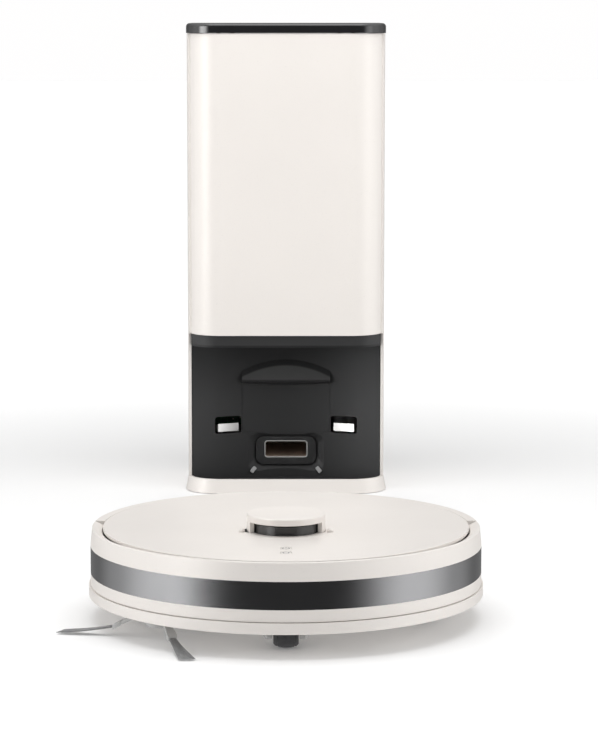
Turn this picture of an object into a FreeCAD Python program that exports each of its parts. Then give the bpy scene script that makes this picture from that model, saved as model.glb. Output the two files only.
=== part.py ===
"""Round robot vacuum with its self-emptying dock tower, as separate pieces.

Millimetres, +Z up. The origin is on the floor, at the centre of the dock's underside. The dock's
front faces -Y, and the robot stands in front of it, on the centre line, with its rear to the dock.
Robot pieces are built about the robot's own centre and moved to their place when they are written.
"""
import FreeCAD, Part
import math
import os

os.makedirs("parts", exist_ok=True)
V = FreeCAD.Vector

# ---------------------------------------------------------------- dock sizes
DOCK_WIDTH = 220.0
DOCK_DEPTH = 180.0
DOCK_TOP = 511.5            # top of the housing walls, under the lid
DOCK_FRONT_CORNER_R = 37.0
DOCK_BACK_CORNER_R = 24.0
DOCK_WALL = 3.0
FRONT_COVER_DEPTH = 25.0    # how far the front cover wraps back round the corners
SEAM = 0.3                  # gap between neighbouring cover edges
PLINTH_HEIGHT = 16.7
PLINTH_FLARE = 2.9          # how much wider the plinth is at the floor
PLINTH_FLOOR = 3.0
FOOT_R = 9.0
FOOT_HEIGHT = 2.6
FOOT_PROUD = 0.8            # how far the rubber feet stand below the plinth
HOUSING_BOTTOM = 178.0      # lower edge of the front cover
FASCIA_HEIGHT = 13.4
FASCIA_SETBACK = 2.0
RECESS_DEPTH = 64.0
RECESS_R = 178.0
RECESS_WALL = 2.5
RECESS_FLOOR_TOP = 9.0
VISOR_HALF_WIDTH = 50.0
VISOR_BOTTOM = 120.0
VISOR_RISE = 24.0
VISOR_PROUD = 7.0           # how far the visor's ends stand out from the concave wall
VISOR_SHOULDER_R = 18.0
PANEL_LINE = 0.4            # width of the fine groove round the port panel
PANEL_LINE_DEPTH = 0.6
PANEL_LINE_BOTTOM = 60.5
PANEL_LINE_R = 8.0
FIT = 0.2                   # gap round a piece that drops into an opening of the same body

PORT_HALF_WIDTH = 24.4
PORT_BOTTOM = 31.5
PORT_TOP = 51.0
PORT_CORNER_R = 3.5
SEAL_MARGIN = 9.6           # width of rubber round the port at the sides
SEAL_MARGIN_TOP = 4.5
SEAL_MARGIN_BOTTOM = 8.1
BEZEL_HALF_WIDTH = 46.0
BEZEL_BOTTOM = 10.0
BEZEL_TOP = 64.0
BEZEL_MOUTH = 8.0           # how far ahead of the wall the bezel's taper starts
BEZEL_DEPTH = 3.0
BEZEL_R = 12.0
BEZEL_BACK_GAP = 0.6        # bezel's inner edge to the seal

CONTACT_X = 65.5
CONTACT_HALF_WIDTH = 11.5
CONTACT_BOTTOM = 63.6
CONTACT_TOP = 72.8
CONTACT_PLATE = 1.6
CONTACT_GAP = 0.6           # plate to robot pad when the robot is home
WINDOW_MARGIN_X = 3.2
WINDOW_MARGIN_BOTTOM = 2.4
WINDOW_MARGIN_TOP = 7.8

DUCT_WALL = 2.5
DUCT_RISER_DEPTH = 22.0
DUCT_REAR_GAP = 3.0         # riser to the rear wall
NOZZLE_BOTTOM = 400.0
NOZZLE_HEIGHT = 26.0
TUB_WALL = 2.5
TUB_GAP = 3.0               # tub to the housing walls
TUB_BOTTOM = 196.0
TUB_TOP = 506.0
TUB_TO_RISER = 4.0
COLLAR_HALF_WIDTH = 45.0
COLLAR_THICKNESS = 3.3
COLLAR_BELOW = 25.0
COLLAR_ABOVE = 28.0
RAIL = 3.0
BAG_GAP = 12.0
BAG_HEIGHT = 255.0
BAG_ROUND = 18.0
FILTER_X = (28.0, 84.0)
FILTER_Y = (-30.0, 30.0)
FILTER_HEIGHT = 8.0

DOCK_FAN_X = 60.0
DOCK_FAN_Y = 32.0
DOCK_FAN_R = 36.0
DOCK_FAN_WALL = 2.5
DOCK_FAN_BOTTOM = 118.0
DOCK_FAN_PLATE = 166.0
DOCK_IMPELLER_R = 29.0
DOCK_IMPELLER_HEIGHT = 20.0
DOCK_MOTOR_R = 27.0
DOCK_MOTOR_HEIGHT = 58.0
SHAFT_R = 3.0
RUNNING = 0.06              # radial clearance of a running shaft
GRILLE_HALF_WIDTH = 26.0
GRILLE_BOTTOM = 122.0
GRILLE_HEIGHT = 40.0
GRILLE_BARS = 7
INLET_X = -62.0
INLET_BOTTOM = 26.0
INLET_WIDTH = 26.0
INLET_HEIGHT = 17.0
INLET_DEPTH = 24.0

LID_HEIGHT = 10.8
LID_GAP = 0.2
LID_OVERHANG = 0.8
LID_EDGE_R = 4.0
LID_WALL = 3.0
HINGE_INSET = 2.5           # hinge axis in from the housing's rear face
HINGE_RISE = 2.5            # hinge axis above the housing's top
HINGE_NOTCH = 2.0           # how far the rear wall is cut down for the lid's swing
HINGE_PIN_R = 1.5
HINGE_EAR_X = (62.0, 78.0)
HINGE_EAR_WIDTH = 4.0
HINGE_EAR_R = 3.0

# ---------------------------------------------------------------- robot sizes
ROBOT_AHEAD = 631.0         # robot's centre in front of the dock's front face, at rest
FLANGE_R = 175.0
FLANGE_BOTTOM = 21.8
FLANGE_TOP = 31.5
FLANGE_WALL = 4.5
BASE_PLATE = 3.0
SIDE_R = 173.3
RIM_R = 171.9
DECK_TOP = 82.8
RIM_TOP = 82.5
GROOVE = 0.6                # shadow gap above the flange
SIDE_WALL = 2.7
BAND_BOTTOM = 42.4
BAND_TOP = 66.3
BAND_THICKNESS = 1.2
INNER_WALL_R = 165.5
INNER_WALL = 2.5
INNER_WALL_TOP = 74.0
BUMPER_END = 15.7           # behind the centre line
BUMPER_TRAVEL = 2.0
BUMPER_CLEAR = 0.4
LIP_SLOPE = 0.5
LIP_THICKNESS = 1.5
LID_HALF_X = 162.0
LID_HALF_Y = 168.0
LID_PLATE = 2.8
LIP_GAP_X = 1.0
LIP_GAP_Y = 2.6
DECK_PLATE = 2.0
DECK_GAP = 0.4
DECK_INSET_X = 1.7
DECK_INSET_Y = 3.2

TURRET_Y = -28.5
TURRET_R = 34.5
TURRET_TOP = 98.5
CAP_HEIGHT = 6.2
CAP_EDGE_R = 1.2
LIDAR_R = 29.0
LIDAR_CAP_GAP = 1.7
POST_INNER_R = 30.2
POST_HALF_DEPTH = 13.0
POST_BOTTOM = 70.0
TURNTABLE_R = 33.0
TURNTABLE_BOTTOM = 61.5
TURNTABLE_HEIGHT = 4.5
LIDAR_BASE_R = 46.0
PULLEY_R = 4.0
PULLEY_AHEAD = 40.0
BELT_THICKNESS = 0.9
BELT_GAP = 0.3
DIMPLE_X = 38.5
DIMPLE_Y = -37.0
DIMPLE_R = 3.2
STUD_PROFILE = [(2.6, -1.6), (2.6, 1.4), (2.3, 2.4), (1.7, 3.1), (0.9, 3.5), (0, 3.6)]

KEY_HALF_WIDTH = 4.4
KEY_LENGTH = 13.0
POWER_KEY_Y = -112.0
HOME_KEY_Y = -131.0
KEY_GAP = 0.3

CASTER_Y = -119.0
CASTER_TRAIL = 6.0
CASTER_WHEEL_R = 15.0
CASTER_WHEEL_WIDTH = 21.6
CASTER_CROWN = 2.0
CASTER_RIM = 0.5            # holder beyond the wheel's front
CASTER_HOLDER_R = CASTER_TRAIL + CASTER_WHEEL_R + CASTER_RIM
CASTER_HOLDER_BOTTOM = 17.8
CASTER_HOLDER_TOP = 37.0
CASTER_CHEEK_HALF_X = 19.3   # the cheeks that hold the axle, low beside the wheel
CASTER_CHEEK_HALF_Y = 8.0
CASTER_CHEEK_DROP = 6.5      # below the axle
CASTER_AXLE_R = 1.5
CASTER_GAP = 0.7

BRUSH_X = -108.0
BRUSH_Y = -90.0
SIDE_HUB_R = 13.0
SIDE_HUB_BOTTOM = 10.5
SIDE_HUB_TOP = 20.8
SIDE_ARM_END = 41.0
SIDE_BRUSH_R = 92.0
SIDE_ARM_ANGLES = (167.0, 287.0, 47.0)
SIDE_ARM_WIDTH = 5.6
SIDE_TIP_WIDTH = 14.0

WHEEL_X = 117.0
WHEEL_Y = 20.0               # behind the centre, out of the side brush's sweep
WHEEL_R = 35.0
TYRE_WIDTH = 18.0
WHEEL_HUB_R = 28.0
TREADS = 24
AXLE_R = 4.0
ARM_THICKNESS = 8.0
ARM_REACH = 48.0            # pivot to axle, along the robot
PIVOT_Z = 44.0
WELL_AHEAD = 12.0           # well in front of the pivot
WELL_BEHIND = 11.0          # well behind the tyre

MAIN_BRUSH_Y = 45.0
MAIN_BRUSH_R = 23.5
MAIN_BRUSH_CLEAR = 2.5      # fins to the floor and to the tunnel
MAIN_BRUSH_Z = MAIN_BRUSH_R + MAIN_BRUSH_CLEAR
MAIN_BRUSH_CORE_R = 8.0
MAIN_BRUSH_HALF = 83.0
MAIN_BRUSH_FINS = 6
MOUTH_HALF_X = 86.0
MOUTH_HALF_Y = MAIN_BRUSH_R + MAIN_BRUSH_CLEAR
CHAMBER_WALL = 3.0
CHAMBER_GAP = 0.5           # tunnel to the laser head's carrier
GUARD_HEIGHT = 3.2
GUARD_BORDER = 8.0

BIN_HALF_WIDTH = 50.0
BIN_FRONT = 82.0
BIN_BOTTOM = 32.2
BIN_TOP = 70.0
BIN_WALL = 2.0
BIN_REAR_R = 172.6
BIN_GAP = 0.6
OUTLET_BOTTOM = 34.5
OUTLET_DOOR = 2.0
LATCH_HALF_WIDTH = 12.0
LATCH_BOTTOM = 56.0
LATCH_HEIGHT = 9.0
LATCH_DEPTH = 4.5
LATCH_TRAVEL = 1.5
ROBOT_FAN_X = 88.0
ROBOT_FAN_Y = 108.0
ROBOT_FAN_R = 26.0
ROBOT_FAN_TOP = 68.0
ROBOT_IMPELLER_R = 20.0
PAD_THICKNESS = 1.2
SPRING_R = 2.4
SPRING_Z = 50.0
SENSOR_R = 150.0
SENSOR_ANGLES = (-62.0, -24.0, 24.0, 62.0)

# ---------------------------------------------------------------- derived places
HALF_W = DOCK_WIDTH / 2
DOCK_FRONT = -DOCK_DEPTH / 2
DOCK_REAR = DOCK_DEPTH / 2
COVER_SEAM_Y = DOCK_FRONT + FRONT_COVER_DEPTH
WALL_DEEPEST = DOCK_FRONT + RECESS_DEPTH
RECESS_CENTRE = WALL_DEEPEST - RECESS_R
FASCIA_BOTTOM = HOUSING_BOTTOM - FASCIA_HEIGHT
SEAT_Y = WALL_DEEPEST + BEZEL_DEPTH
SEAL_FRONT = WALL_DEEPEST - 0.5
RISER_BACK = DOCK_REAR - DOCK_WALL - DUCT_REAR_GAP
RISER_FRONT = RISER_BACK - DUCT_RISER_DEPTH
TUB_REAR = RISER_FRONT - TUB_TO_RISER
LID_BOTTOM = DOCK_TOP + LID_GAP
HINGE_Y = DOCK_REAR - HINGE_INSET
HINGE_Z = DOCK_TOP + HINGE_RISE
ROBOT_Y = DOCK_FRONT - ROBOT_AHEAD
HOME_Y = WALL_DEEPEST - 1.0 - FLANGE_R
DECK_UNDER = DECK_TOP - LID_PLATE - DECK_GAP - DECK_PLATE
REAR_BODY_START = BUMPER_END + BUMPER_TRAVEL + BUMPER_CLEAR
BASE_TOP = FLANGE_BOTTOM + BASE_PLATE
CAP_BOTTOM = TURRET_TOP - CAP_HEIGHT
CASTER_WHEEL_Y = CASTER_Y - CASTER_TRAIL
PIVOT_Y = WHEEL_Y - ARM_REACH
PAD_R = SIDE_R - 0.3


# ---------------------------------------------------------------- shape helpers
def box(x, y, z):
    """A block between the two limits on each axis."""
    return Part.makeBox(x[1] - x[0], y[1] - y[0], z[1] - z[0], V(x[0], y[0], z[0]))


def cyl(r, z, x=0.0, y=0.0):
    """An upright cylinder."""
    return Part.makeCylinder(r, z[1] - z[0], V(x, y, z[0]), V(0, 0, 1))


def cyl_x(r, x, y, z):
    """A cylinder along X."""
    return Part.makeCylinder(r, x[1] - x[0], V(x[0], y, z), V(1, 0, 0))


def cyl_y(r, y, x, z):
    """A cylinder along Y."""
    return Part.makeCylinder(r, y[1] - y[0], V(x, y[0], z), V(0, 1, 0))


def ring(r_out, r_in, z, x=0.0, y=0.0):
    """An upright tube."""
    return cyl(r_out, z, x, y).cut(cyl(r_in, (z[0] - 1, z[1] + 1), x, y))


def join(shapes):
    """All the shapes as one solid, with leftover seams removed."""
    first = shapes[0]
    return first.multiFuse(shapes[1:]).removeSplitter() if len(shapes) > 1 else first


def less(shape, *tools):
    """The shape with every tool cut away."""
    for tool in tools:
        shape = shape.cut(tool)
    return shape


def polygon_face(points):
    """A flat face through the points."""
    return Part.Face(Part.makePolygon(points + [points[0]]))


def lathe(profile, x=0.0, y=0.0):
    """A closed (radius, height) outline turned about the upright axis."""
    face = polygon_face([V(r, 0, z) for r, z in profile])
    solid = face.revolve(V(0, 0, 0), V(0, 0, 1), 360)
    solid.translate(V(x, y, 0))
    return solid


def lathe_x(profile, x, y, z):
    """A closed (distance along X, radius) outline turned about an axis along X."""
    face = polygon_face([V(x + a, 0, r) for a, r in profile])
    solid = face.revolve(V(0, 0, 0), V(1, 0, 0), 360)
    solid.translate(V(0, y, z))
    return solid


def ellipse_prism(half_x, half_y, z):
    """An upright prism with an elliptical outline, longer along Y."""
    long_way, short_way = max(half_x, half_y), min(half_x, half_y)
    edge = Part.Ellipse(V(0, 0, z[0]), long_way, short_way).toShape()
    prism = Part.Face(Part.Wire([edge])).extrude(V(0, 0, z[1] - z[0]))
    if half_y > half_x:
        prism.rotate(V(0, 0, 0), V(0, 0, 1), 90)
    return prism


def outline(half_x, front, rear, front_r, rear_r, z):
    """A closed wire: a rectangle with round corners, one radius in front and one behind."""
    diagonal = math.sqrt(0.5)
    corners = [
        (half_x, front, -1, 1, front_r),
        (half_x, rear, -1, -1, rear_r),
        (-half_x, rear, 1, -1, rear_r),
        (-half_x, front, 1, 1, front_r),
    ]
    arcs = []
    for index, (x, y, sx, sy, r) in enumerate(corners):
        centre = V(x + sx * r, y + sy * r, z)
        middle = V(centre.x - sx * r * diagonal, centre.y - sy * r * diagonal, z)
        along_x = V(centre.x, y, z)
        along_y = V(x, centre.y, z)
        ends = (along_x, along_y) if index % 2 == 0 else (along_y, along_x)
        arcs.append((ends[0], middle, ends[1]))
    edges = []
    for index, (start, middle, end) in enumerate(arcs):
        edges.append(Part.Arc(start, middle, end).toShape())
        edges.append(Part.LineSegment(end, arcs[(index + 1) % 4][0]).toShape())
    return Part.Wire(edges)


def rounded_block(half_x, y, front_r, rear_r, z):
    """An upright prism on the round-cornered outline."""
    face = Part.Face(outline(half_x, y[0], y[1], front_r, rear_r, z[0]))
    return face.extrude(V(0, 0, z[1] - z[0]))


def slot_block(half_x, z, r, y):
    """A block with its four corners rounded as seen from the front."""
    face = Part.Face(outline(half_x, z[0], z[1], r, r, 0))
    block = face.extrude(V(0, 0, y[1] - y[0]))
    block.rotate(V(0, 0, 0), V(1, 0, 0), 90)
    block.translate(V(0, y[1], 0))
    return block


def dock_prism(inset, z):
    """The dock's outer plan shape, taken in by inset, between two heights."""
    return rounded_block(
        HALF_W - inset,
        (DOCK_FRONT + inset, DOCK_REAR - inset),
        DOCK_FRONT_CORNER_R - inset,
        DOCK_BACK_CORNER_R - inset,
        z,
    )


def dock_tube(z):
    """The dock's walls between two heights."""
    return dock_prism(0, z).cut(dock_prism(DOCK_WALL, (z[0] - 1, z[1] + 1)))


def span_about(middle, half):
    """The two limits of a stretch centred on a value."""
    return middle - half, middle + half


def all_y(y):
    """A block wider and taller than everything, between two Y values."""
    return box((-400, 400), y, (-100, 800))


def top_edges(shape, z):
    """Edges that lie wholly at one height."""
    level = [e for e in shape.Edges if abs(e.BoundBox.ZMin - z) < 0.01 and abs(e.BoundBox.ZMax - z) < 0.01]
    return level


# ---------------------------------------------------------------- dock pieces
def dock_plinth():
    """White base tray: flared skirt, floor, and pockets underneath for the feet."""
    corners = (DOCK_FRONT_CORNER_R, DOCK_BACK_CORNER_R)
    low = outline(HALF_W + PLINTH_FLARE, DOCK_FRONT - 1.0, DOCK_REAR, *corners, FOOT_PROUD)
    high = outline(HALF_W, DOCK_FRONT, DOCK_REAR, *corners, PLINTH_HEIGHT)
    body = Part.makeLoft([low, high], True, True)
    pocket = dock_prism(DOCK_WALL + 0.5, (FOOT_PROUD + PLINTH_FLOOR, PLINTH_HEIGHT + 1))
    pads = [cyl(FOOT_R + FIT, (-1, FOOT_HEIGHT), x, y) for x, y in foot_places()]
    return less(body, pocket, *pads)


def foot_places():
    """Centres of the rubber feet: one near each corner and one in the middle."""
    x = HALF_W - 30.0
    y = DOCK_DEPTH / 2 - 28.0
    return [(x, y), (-x, y), (x, -y), (-x, -y), (0.0, 0.0)]


def dock_feet():
    """Five rubber pads under the plinth."""
    return Part.Compound([cyl(FOOT_R, (0, FOOT_HEIGHT), x, y) for x, y in foot_places()])


def inlet_block(grow):
    """The space of the mains inlet in the rear wall, grown by a gap."""
    return box(
        (INLET_X - INLET_WIDTH / 2 - grow, INLET_X + INLET_WIDTH / 2 + grow),
        (DOCK_REAR - INLET_DEPTH, DOCK_REAR + grow),
        (INLET_BOTTOM - grow, INLET_BOTTOM + INLET_HEIGHT + grow),
    )


def grille_block(grow):
    """The space of the exhaust grille in the rear wall, grown by a gap."""
    return box(
        (DOCK_FAN_X - GRILLE_HALF_WIDTH - grow, DOCK_FAN_X + GRILLE_HALF_WIDTH + grow),
        (DOCK_REAR - DOCK_WALL, DOCK_REAR + grow),
        (GRILLE_BOTTOM - grow, GRILLE_BOTTOM + GRILLE_HEIGHT + grow),
    )


def hinge_ear(x):
    """One upright ear on the rear wall, round about the hinge axis."""
    span = (x - HINGE_EAR_WIDTH / 2, x + HINGE_EAR_WIDTH / 2)
    stem = box(span, (HINGE_Y - 2.0, DOCK_REAR - 0.6), (DOCK_TOP - HINGE_NOTCH - 2.0, HINGE_Z))
    return join([stem, cyl_x(HINGE_EAR_R, span, HINGE_Y, HINGE_Z)])


def hinge_bore(r, x):
    """The hinge pin's hole over one stretch."""
    return cyl_x(r, x, HINGE_Y, HINGE_Z)


def dock_rear_shell():
    """White sides and back of the tower, in one piece from the plinth to the lid."""
    z = (PLINTH_HEIGHT + SEAM, DOCK_TOP)
    walls = dock_tube(z).common(all_y((COVER_SEAM_Y + SEAM, 400)))
    notch = box(
        (-HALF_W + 14, HALF_W - 14),
        (DOCK_REAR - 8, DOCK_REAR + 1),
        (DOCK_TOP - HINGE_NOTCH, DOCK_TOP + 1),
    )
    recess = recess_void(0, (0, HOUSING_BOTTOM))
    walls = less(walls, notch, recess, inlet_block(FIT), grille_block(FIT))
    ears = []
    for side in (-1, 1):
        for x in HINGE_EAR_X:
            ears.append(hinge_ear(side * x))
    bores = [hinge_bore(HINGE_PIN_R + 0.02, (-HALF_W, HALF_W))]
    return less(join([walls] + ears), *bores)


def dock_front_cover():
    """White front of the tower above the recess, wrapping both front corners."""
    tube = dock_tube((HOUSING_BOTTOM, DOCK_TOP))
    return tube.common(all_y((-400, COVER_SEAM_Y)))


def recess_void(grow, z):
    """The space in front of the concave wall, grown outwards, between two heights."""
    round_part = cyl(RECESS_R + grow, z, 0, RECESS_CENTRE)
    return round_part.common(all_y((DOCK_FRONT - 50, 400)))


def bezel_funnel():
    """The tapering hollow round the dust port."""
    front = slot_outline(BEZEL_HALF_WIDTH, BEZEL_BOTTOM, BEZEL_TOP, BEZEL_R, WALL_DEEPEST - BEZEL_MOUTH)
    back = slot_outline(
        PORT_HALF_WIDTH + SEAL_MARGIN + BEZEL_BACK_GAP,
        PORT_BOTTOM - SEAL_MARGIN_BOTTOM - BEZEL_BACK_GAP,
        PORT_TOP + SEAL_MARGIN_TOP + BEZEL_BACK_GAP,
        BEZEL_R,
        SEAT_Y,
    )
    return Part.makeLoft([front, back], True, True)


def slot_outline(half_x, bottom, top, r, y):
    """A closed round-cornered wire in an upright plane."""
    wire = outline(half_x, bottom, top, r, r, 0)
    wire.rotate(V(0, 0, 0), V(1, 0, 0), 90)
    wire.translate(V(0, y, 0))
    return wire


def visor():
    """The wedge over the dust port: a flat slope with round shoulders, proud of the concave wall."""
    chord = RECESS_CENTRE + math.sqrt(RECESS_R ** 2 - VISOR_HALF_WIDTH ** 2)
    top = VISOR_BOTTOM + VISOR_RISE
    root = WALL_DEEPEST + RECESS_WALL - 1.0
    side = [
        V(-VISOR_HALF_WIDTH, chord - VISOR_PROUD, VISOR_BOTTOM),
        V(-VISOR_HALF_WIDTH, WALL_DEEPEST, top),
        V(-VISOR_HALF_WIDTH, root, top),
        V(-VISOR_HALF_WIDTH, root, VISOR_BOTTOM - 5),
        V(-VISOR_HALF_WIDTH, WALL_DEEPEST, VISOR_BOTTOM - 5),
    ]
    wedge = polygon_face(side).extrude(V(2 * VISOR_HALF_WIDTH, 0, 0))
    low = VISOR_BOTTOM - 2 * VISOR_SHOULDER_R
    arch = slot_block(VISOR_HALF_WIDTH, (low, top), VISOR_SHOULDER_R, (DOCK_FRONT, root))
    behind = recess_void(RECESS_WALL - 0.5, (VISOR_BOTTOM - 10, top + 5))
    return wedge.common(arch).common(behind)


def panel_line():
    """The fine groove that outlines the port's panel in the concave wall, below the visor."""
    half = VISOR_HALF_WIDTH
    z = (PANEL_LINE_BOTTOM, VISOR_BOTTOM + 20)
    y = (RECESS_CENTRE + 100, WALL_DEEPEST + 10)
    outer = slot_block(half, z, PANEL_LINE_R, y)
    inner_z = (z[0] + PANEL_LINE, z[1] + 1)
    inner = slot_block(half - PANEL_LINE, inner_z, PANEL_LINE_R - PANEL_LINE, (y[0] - 1, y[1] + 1))
    return outer.cut(inner).common(recess_void(PANEL_LINE_DEPTH, (PANEL_LINE_BOTTOM - 5, VISOR_BOTTOM)))


def contact_window(side):
    """The opening for one charging plate."""
    x = side * CONTACT_X
    half = CONTACT_HALF_WIDTH + WINDOW_MARGIN_X
    z = (CONTACT_BOTTOM - WINDOW_MARGIN_BOTTOM, CONTACT_TOP + WINDOW_MARGIN_TOP)
    window = slot_block(half, z, 3.0, (RECESS_CENTRE + 100, WALL_DEEPEST + 20))
    window.translate(V(x, 0, 0))
    return window


def dock_recess_panel():
    """Black lining of the docking recess: fascia, ceiling, concave wall, floor and port bezel."""
    side_gap = DOCK_WALL + FIT
    floor = (RECESS_FLOOR_TOP - RECESS_WALL, RECESS_FLOOR_TOP)
    ceiling = (FASCIA_BOTTOM, FASCIA_BOTTOM + RECESS_WALL)
    inside = dock_prism(side_gap + 0.6, (floor[0], HOUSING_BOTTOM - SEAM))
    wall = recess_void(RECESS_WALL, (floor[0], ceiling[1])).cut(recess_void(0, (floor[1], ceiling[0])))
    wall = wall.common(inside)
    fascia_z = (FASCIA_BOTTOM, HOUSING_BOTTOM - SEAM)
    fascia = dock_prism(FASCIA_SETBACK, fascia_z).cut(dock_prism(FASCIA_SETBACK + RECESS_WALL, fascia_z))
    fascia = fascia.common(all_y((-400, COVER_SEAM_Y)))
    back = box((-47, 47), (WALL_DEEPEST - 5, SEAT_Y + RECESS_WALL), (BEZEL_BOTTOM - 2.5, BEZEL_TOP + 2.5))
    back = back.cut(recess_void(0.5, (0, 200)))
    port = slot_block(PORT_HALF_WIDTH, (PORT_BOTTOM, PORT_TOP), PORT_CORNER_R, (SEAT_Y - 1, SEAT_Y + 10))
    wall = wall.cut(panel_line())
    panel = join([wall, fascia, back, visor()])
    return less(panel, bezel_funnel(), port, contact_window(-1), contact_window(1))


def seal_block(z_low, z_high, y):
    """The seal's outer shape."""
    half = PORT_HALF_WIDTH + SEAL_MARGIN
    return slot_block(half, (z_low, z_high), 12.0, y)


def dust_port_seal():
    """Rubber ring that the robot's outlet presses on."""
    y = (SEAL_FRONT, SEAT_Y)
    body = seal_block(PORT_BOTTOM - SEAL_MARGIN_BOTTOM, PORT_TOP + SEAL_MARGIN_TOP, y)
    hole = slot_block(PORT_HALF_WIDTH, (PORT_BOTTOM, PORT_TOP), PORT_CORNER_R, (y[0] - 1, y[1] + 1))
    return body.cut(hole)


def dust_duct():
    """Air passage: back from the port, up behind the recess, forward into the bag."""
    half = PORT_HALF_WIDTH + DUCT_WALL
    low = PORT_BOTTOM - DUCT_WALL
    high = PORT_TOP + DUCT_WALL
    nozzle = (NOZZLE_BOTTOM, NOZZLE_BOTTOM + NOZZLE_HEIGHT)
    top = nozzle[1] + DUCT_WALL
    start = SEAT_Y + RECESS_WALL
    end = TUB_REAR - TUB_WALL - COLLAR_THICKNESS - RAIL * 2
    outer = join([
        box((-half, half), (start, RISER_BACK), (low, high)),
        box((-half, half), (RISER_FRONT, RISER_BACK), (low, top)),
        box((-half, half), (end, RISER_BACK), (nozzle[0] - DUCT_WALL, top)),
    ])
    inner_half = PORT_HALF_WIDTH
    back = RISER_BACK - DUCT_WALL
    inner = join([
        box((-inner_half, inner_half), (start - 1, back), (PORT_BOTTOM, PORT_TOP)),
        box((-inner_half, inner_half), (RISER_FRONT + DUCT_WALL, back), (PORT_BOTTOM, nozzle[1])),
        box((-inner_half, inner_half), (end - 1, back), nozzle),
    ])
    return outer.cut(inner)


def collar_place():
    """Front and rear faces of the bag's collar plate."""
    rear = TUB_REAR - TUB_WALL - COLLAR_THICKNESS - RAIL * 2
    return rear - COLLAR_THICKNESS, rear


def bag_chamber():
    """Tub that holds the bag: round front corners, floor grating, nozzle hole and collar rails."""
    inset = DOCK_WALL + TUB_GAP
    half = HALF_W - inset
    front = DOCK_FRONT + inset
    outer_r = DOCK_FRONT_CORNER_R - inset
    body = rounded_block(half, (front, TUB_REAR), outer_r, 8.0, (TUB_BOTTOM, TUB_TOP))
    hollow = rounded_block(
        half - TUB_WALL,
        (front + TUB_WALL, TUB_REAR - TUB_WALL),
        outer_r - TUB_WALL,
        8.0 - TUB_WALL,
        (TUB_BOTTOM + TUB_WALL, TUB_TOP + 1),
    )
    nozzle_half = PORT_HALF_WIDTH + DUCT_WALL + FIT
    nozzle_z = (NOZZLE_BOTTOM - DUCT_WALL - FIT, NOZZLE_BOTTOM + NOZZLE_HEIGHT + DUCT_WALL + FIT)
    hole = box((-nozzle_half, nozzle_half), (TUB_REAR - 6, TUB_REAR + 1), nozzle_z)
    slots = []
    pitch = (FILTER_X[1] - FILTER_X[0] - 6.0) / 5
    for index in range(5):
        x = FILTER_X[0] + 3.0 + pitch * index
        slot_y = (FILTER_Y[0] + 4, FILTER_Y[1] - 4)
        slots.append(box((x + 1.2, x + pitch - 1.2), slot_y, (TUB_BOTTOM - 1, TUB_BOTTOM + 5)))
    collar_front, collar_rear = collar_place()
    low = NOZZLE_BOTTOM - COLLAR_BELOW - RAIL
    high = NOZZLE_BOTTOM + NOZZLE_HEIGHT + COLLAR_ABOVE
    inner = COLLAR_HALF_WIDTH + FIT
    rails = []
    wall_face = TUB_REAR - TUB_WALL
    for side in (-1, 1):
        web = sorted((side * inner, side * (inner + RAIL)))
        lip = sorted((side * (inner - RAIL), side * (inner + RAIL)))
        rails.append(box(web, (collar_front - FIT - RAIL, wall_face), (low, high)))
        rails.append(box(lip, (collar_front - FIT - RAIL, collar_front - FIT), (low, high)))
    rails.append(box((-inner, inner), (collar_front - FIT, wall_face), (low, low + RAIL - FIT)))
    return less(join([body.cut(hollow)] + rails), hole, *slots)


def bag_collar():
    """Stiff plate of the dust bag, in the tub's rails in front of the nozzle."""
    front, rear = collar_place()
    z = (NOZZLE_BOTTOM - COLLAR_BELOW, NOZZLE_BOTTOM + NOZZLE_HEIGHT + COLLAR_ABOVE)
    plate = box((-COLLAR_HALF_WIDTH, COLLAR_HALF_WIDTH), (front, rear - FIT), z)
    mouth_z = (NOZZLE_BOTTOM + 1, NOZZLE_BOTTOM + NOZZLE_HEIGHT - 1)
    mouth = slot_block(PORT_HALF_WIDTH - 2, mouth_z, 5.0, (front - 1, rear + 1))
    tab = box((-12, 12), (front, rear - FIT), (z[1], z[1] + 12))
    return less(join([plate, tab]), mouth)


def dust_bag():
    """The bag's filled space inside the tub."""
    inset = DOCK_WALL + TUB_GAP + TUB_WALL + BAG_GAP
    rear = collar_place()[0] - FIT - RAIL - 1.5
    front = DOCK_FRONT + inset
    low = TUB_BOTTOM + TUB_WALL + 14.0
    body = box((-(HALF_W - inset), HALF_W - inset), (front, rear), (low, low + BAG_HEIGHT))
    return body.makeFillet(BAG_ROUND, body.Edges)


def dock_prefilter():
    """Flat framed filter under the tub's floor grating."""
    top = TUB_BOTTOM - FIT
    frame = box(FILTER_X, FILTER_Y, (top - FILTER_HEIGHT, top))
    window = box(
        (FILTER_X[0] + 4, FILTER_X[1] - 4),
        (FILTER_Y[0] + 4, FILTER_Y[1] - 4),
        (top - FILTER_HEIGHT - 1, top + 1),
    )
    pleats = []
    count = 12
    pitch = (FILTER_Y[1] - FILTER_Y[0] - 8) / count
    for index in range(count):
        y = FILTER_Y[0] + 4 + pitch * index
        points = [
            V(FILTER_X[0] + 3, y, top - FILTER_HEIGHT + 1),
            V(FILTER_X[0] + 3, y + pitch / 2, top - 1.6),
            V(FILTER_X[0] + 3, y + pitch, top - FILTER_HEIGHT + 1),
            V(FILTER_X[0] + 3, y + pitch, top - FILTER_HEIGHT + 2.2),
            V(FILTER_X[0] + 3, y + pitch / 2, top - 0.4),
            V(FILTER_X[0] + 3, y, top - FILTER_HEIGHT + 2.2),
        ]
        pleats.append(polygon_face(points).extrude(V(FILTER_X[1] - FILTER_X[0] - 6, 0, 0)))
    return join([frame.cut(window)] + pleats)


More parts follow.
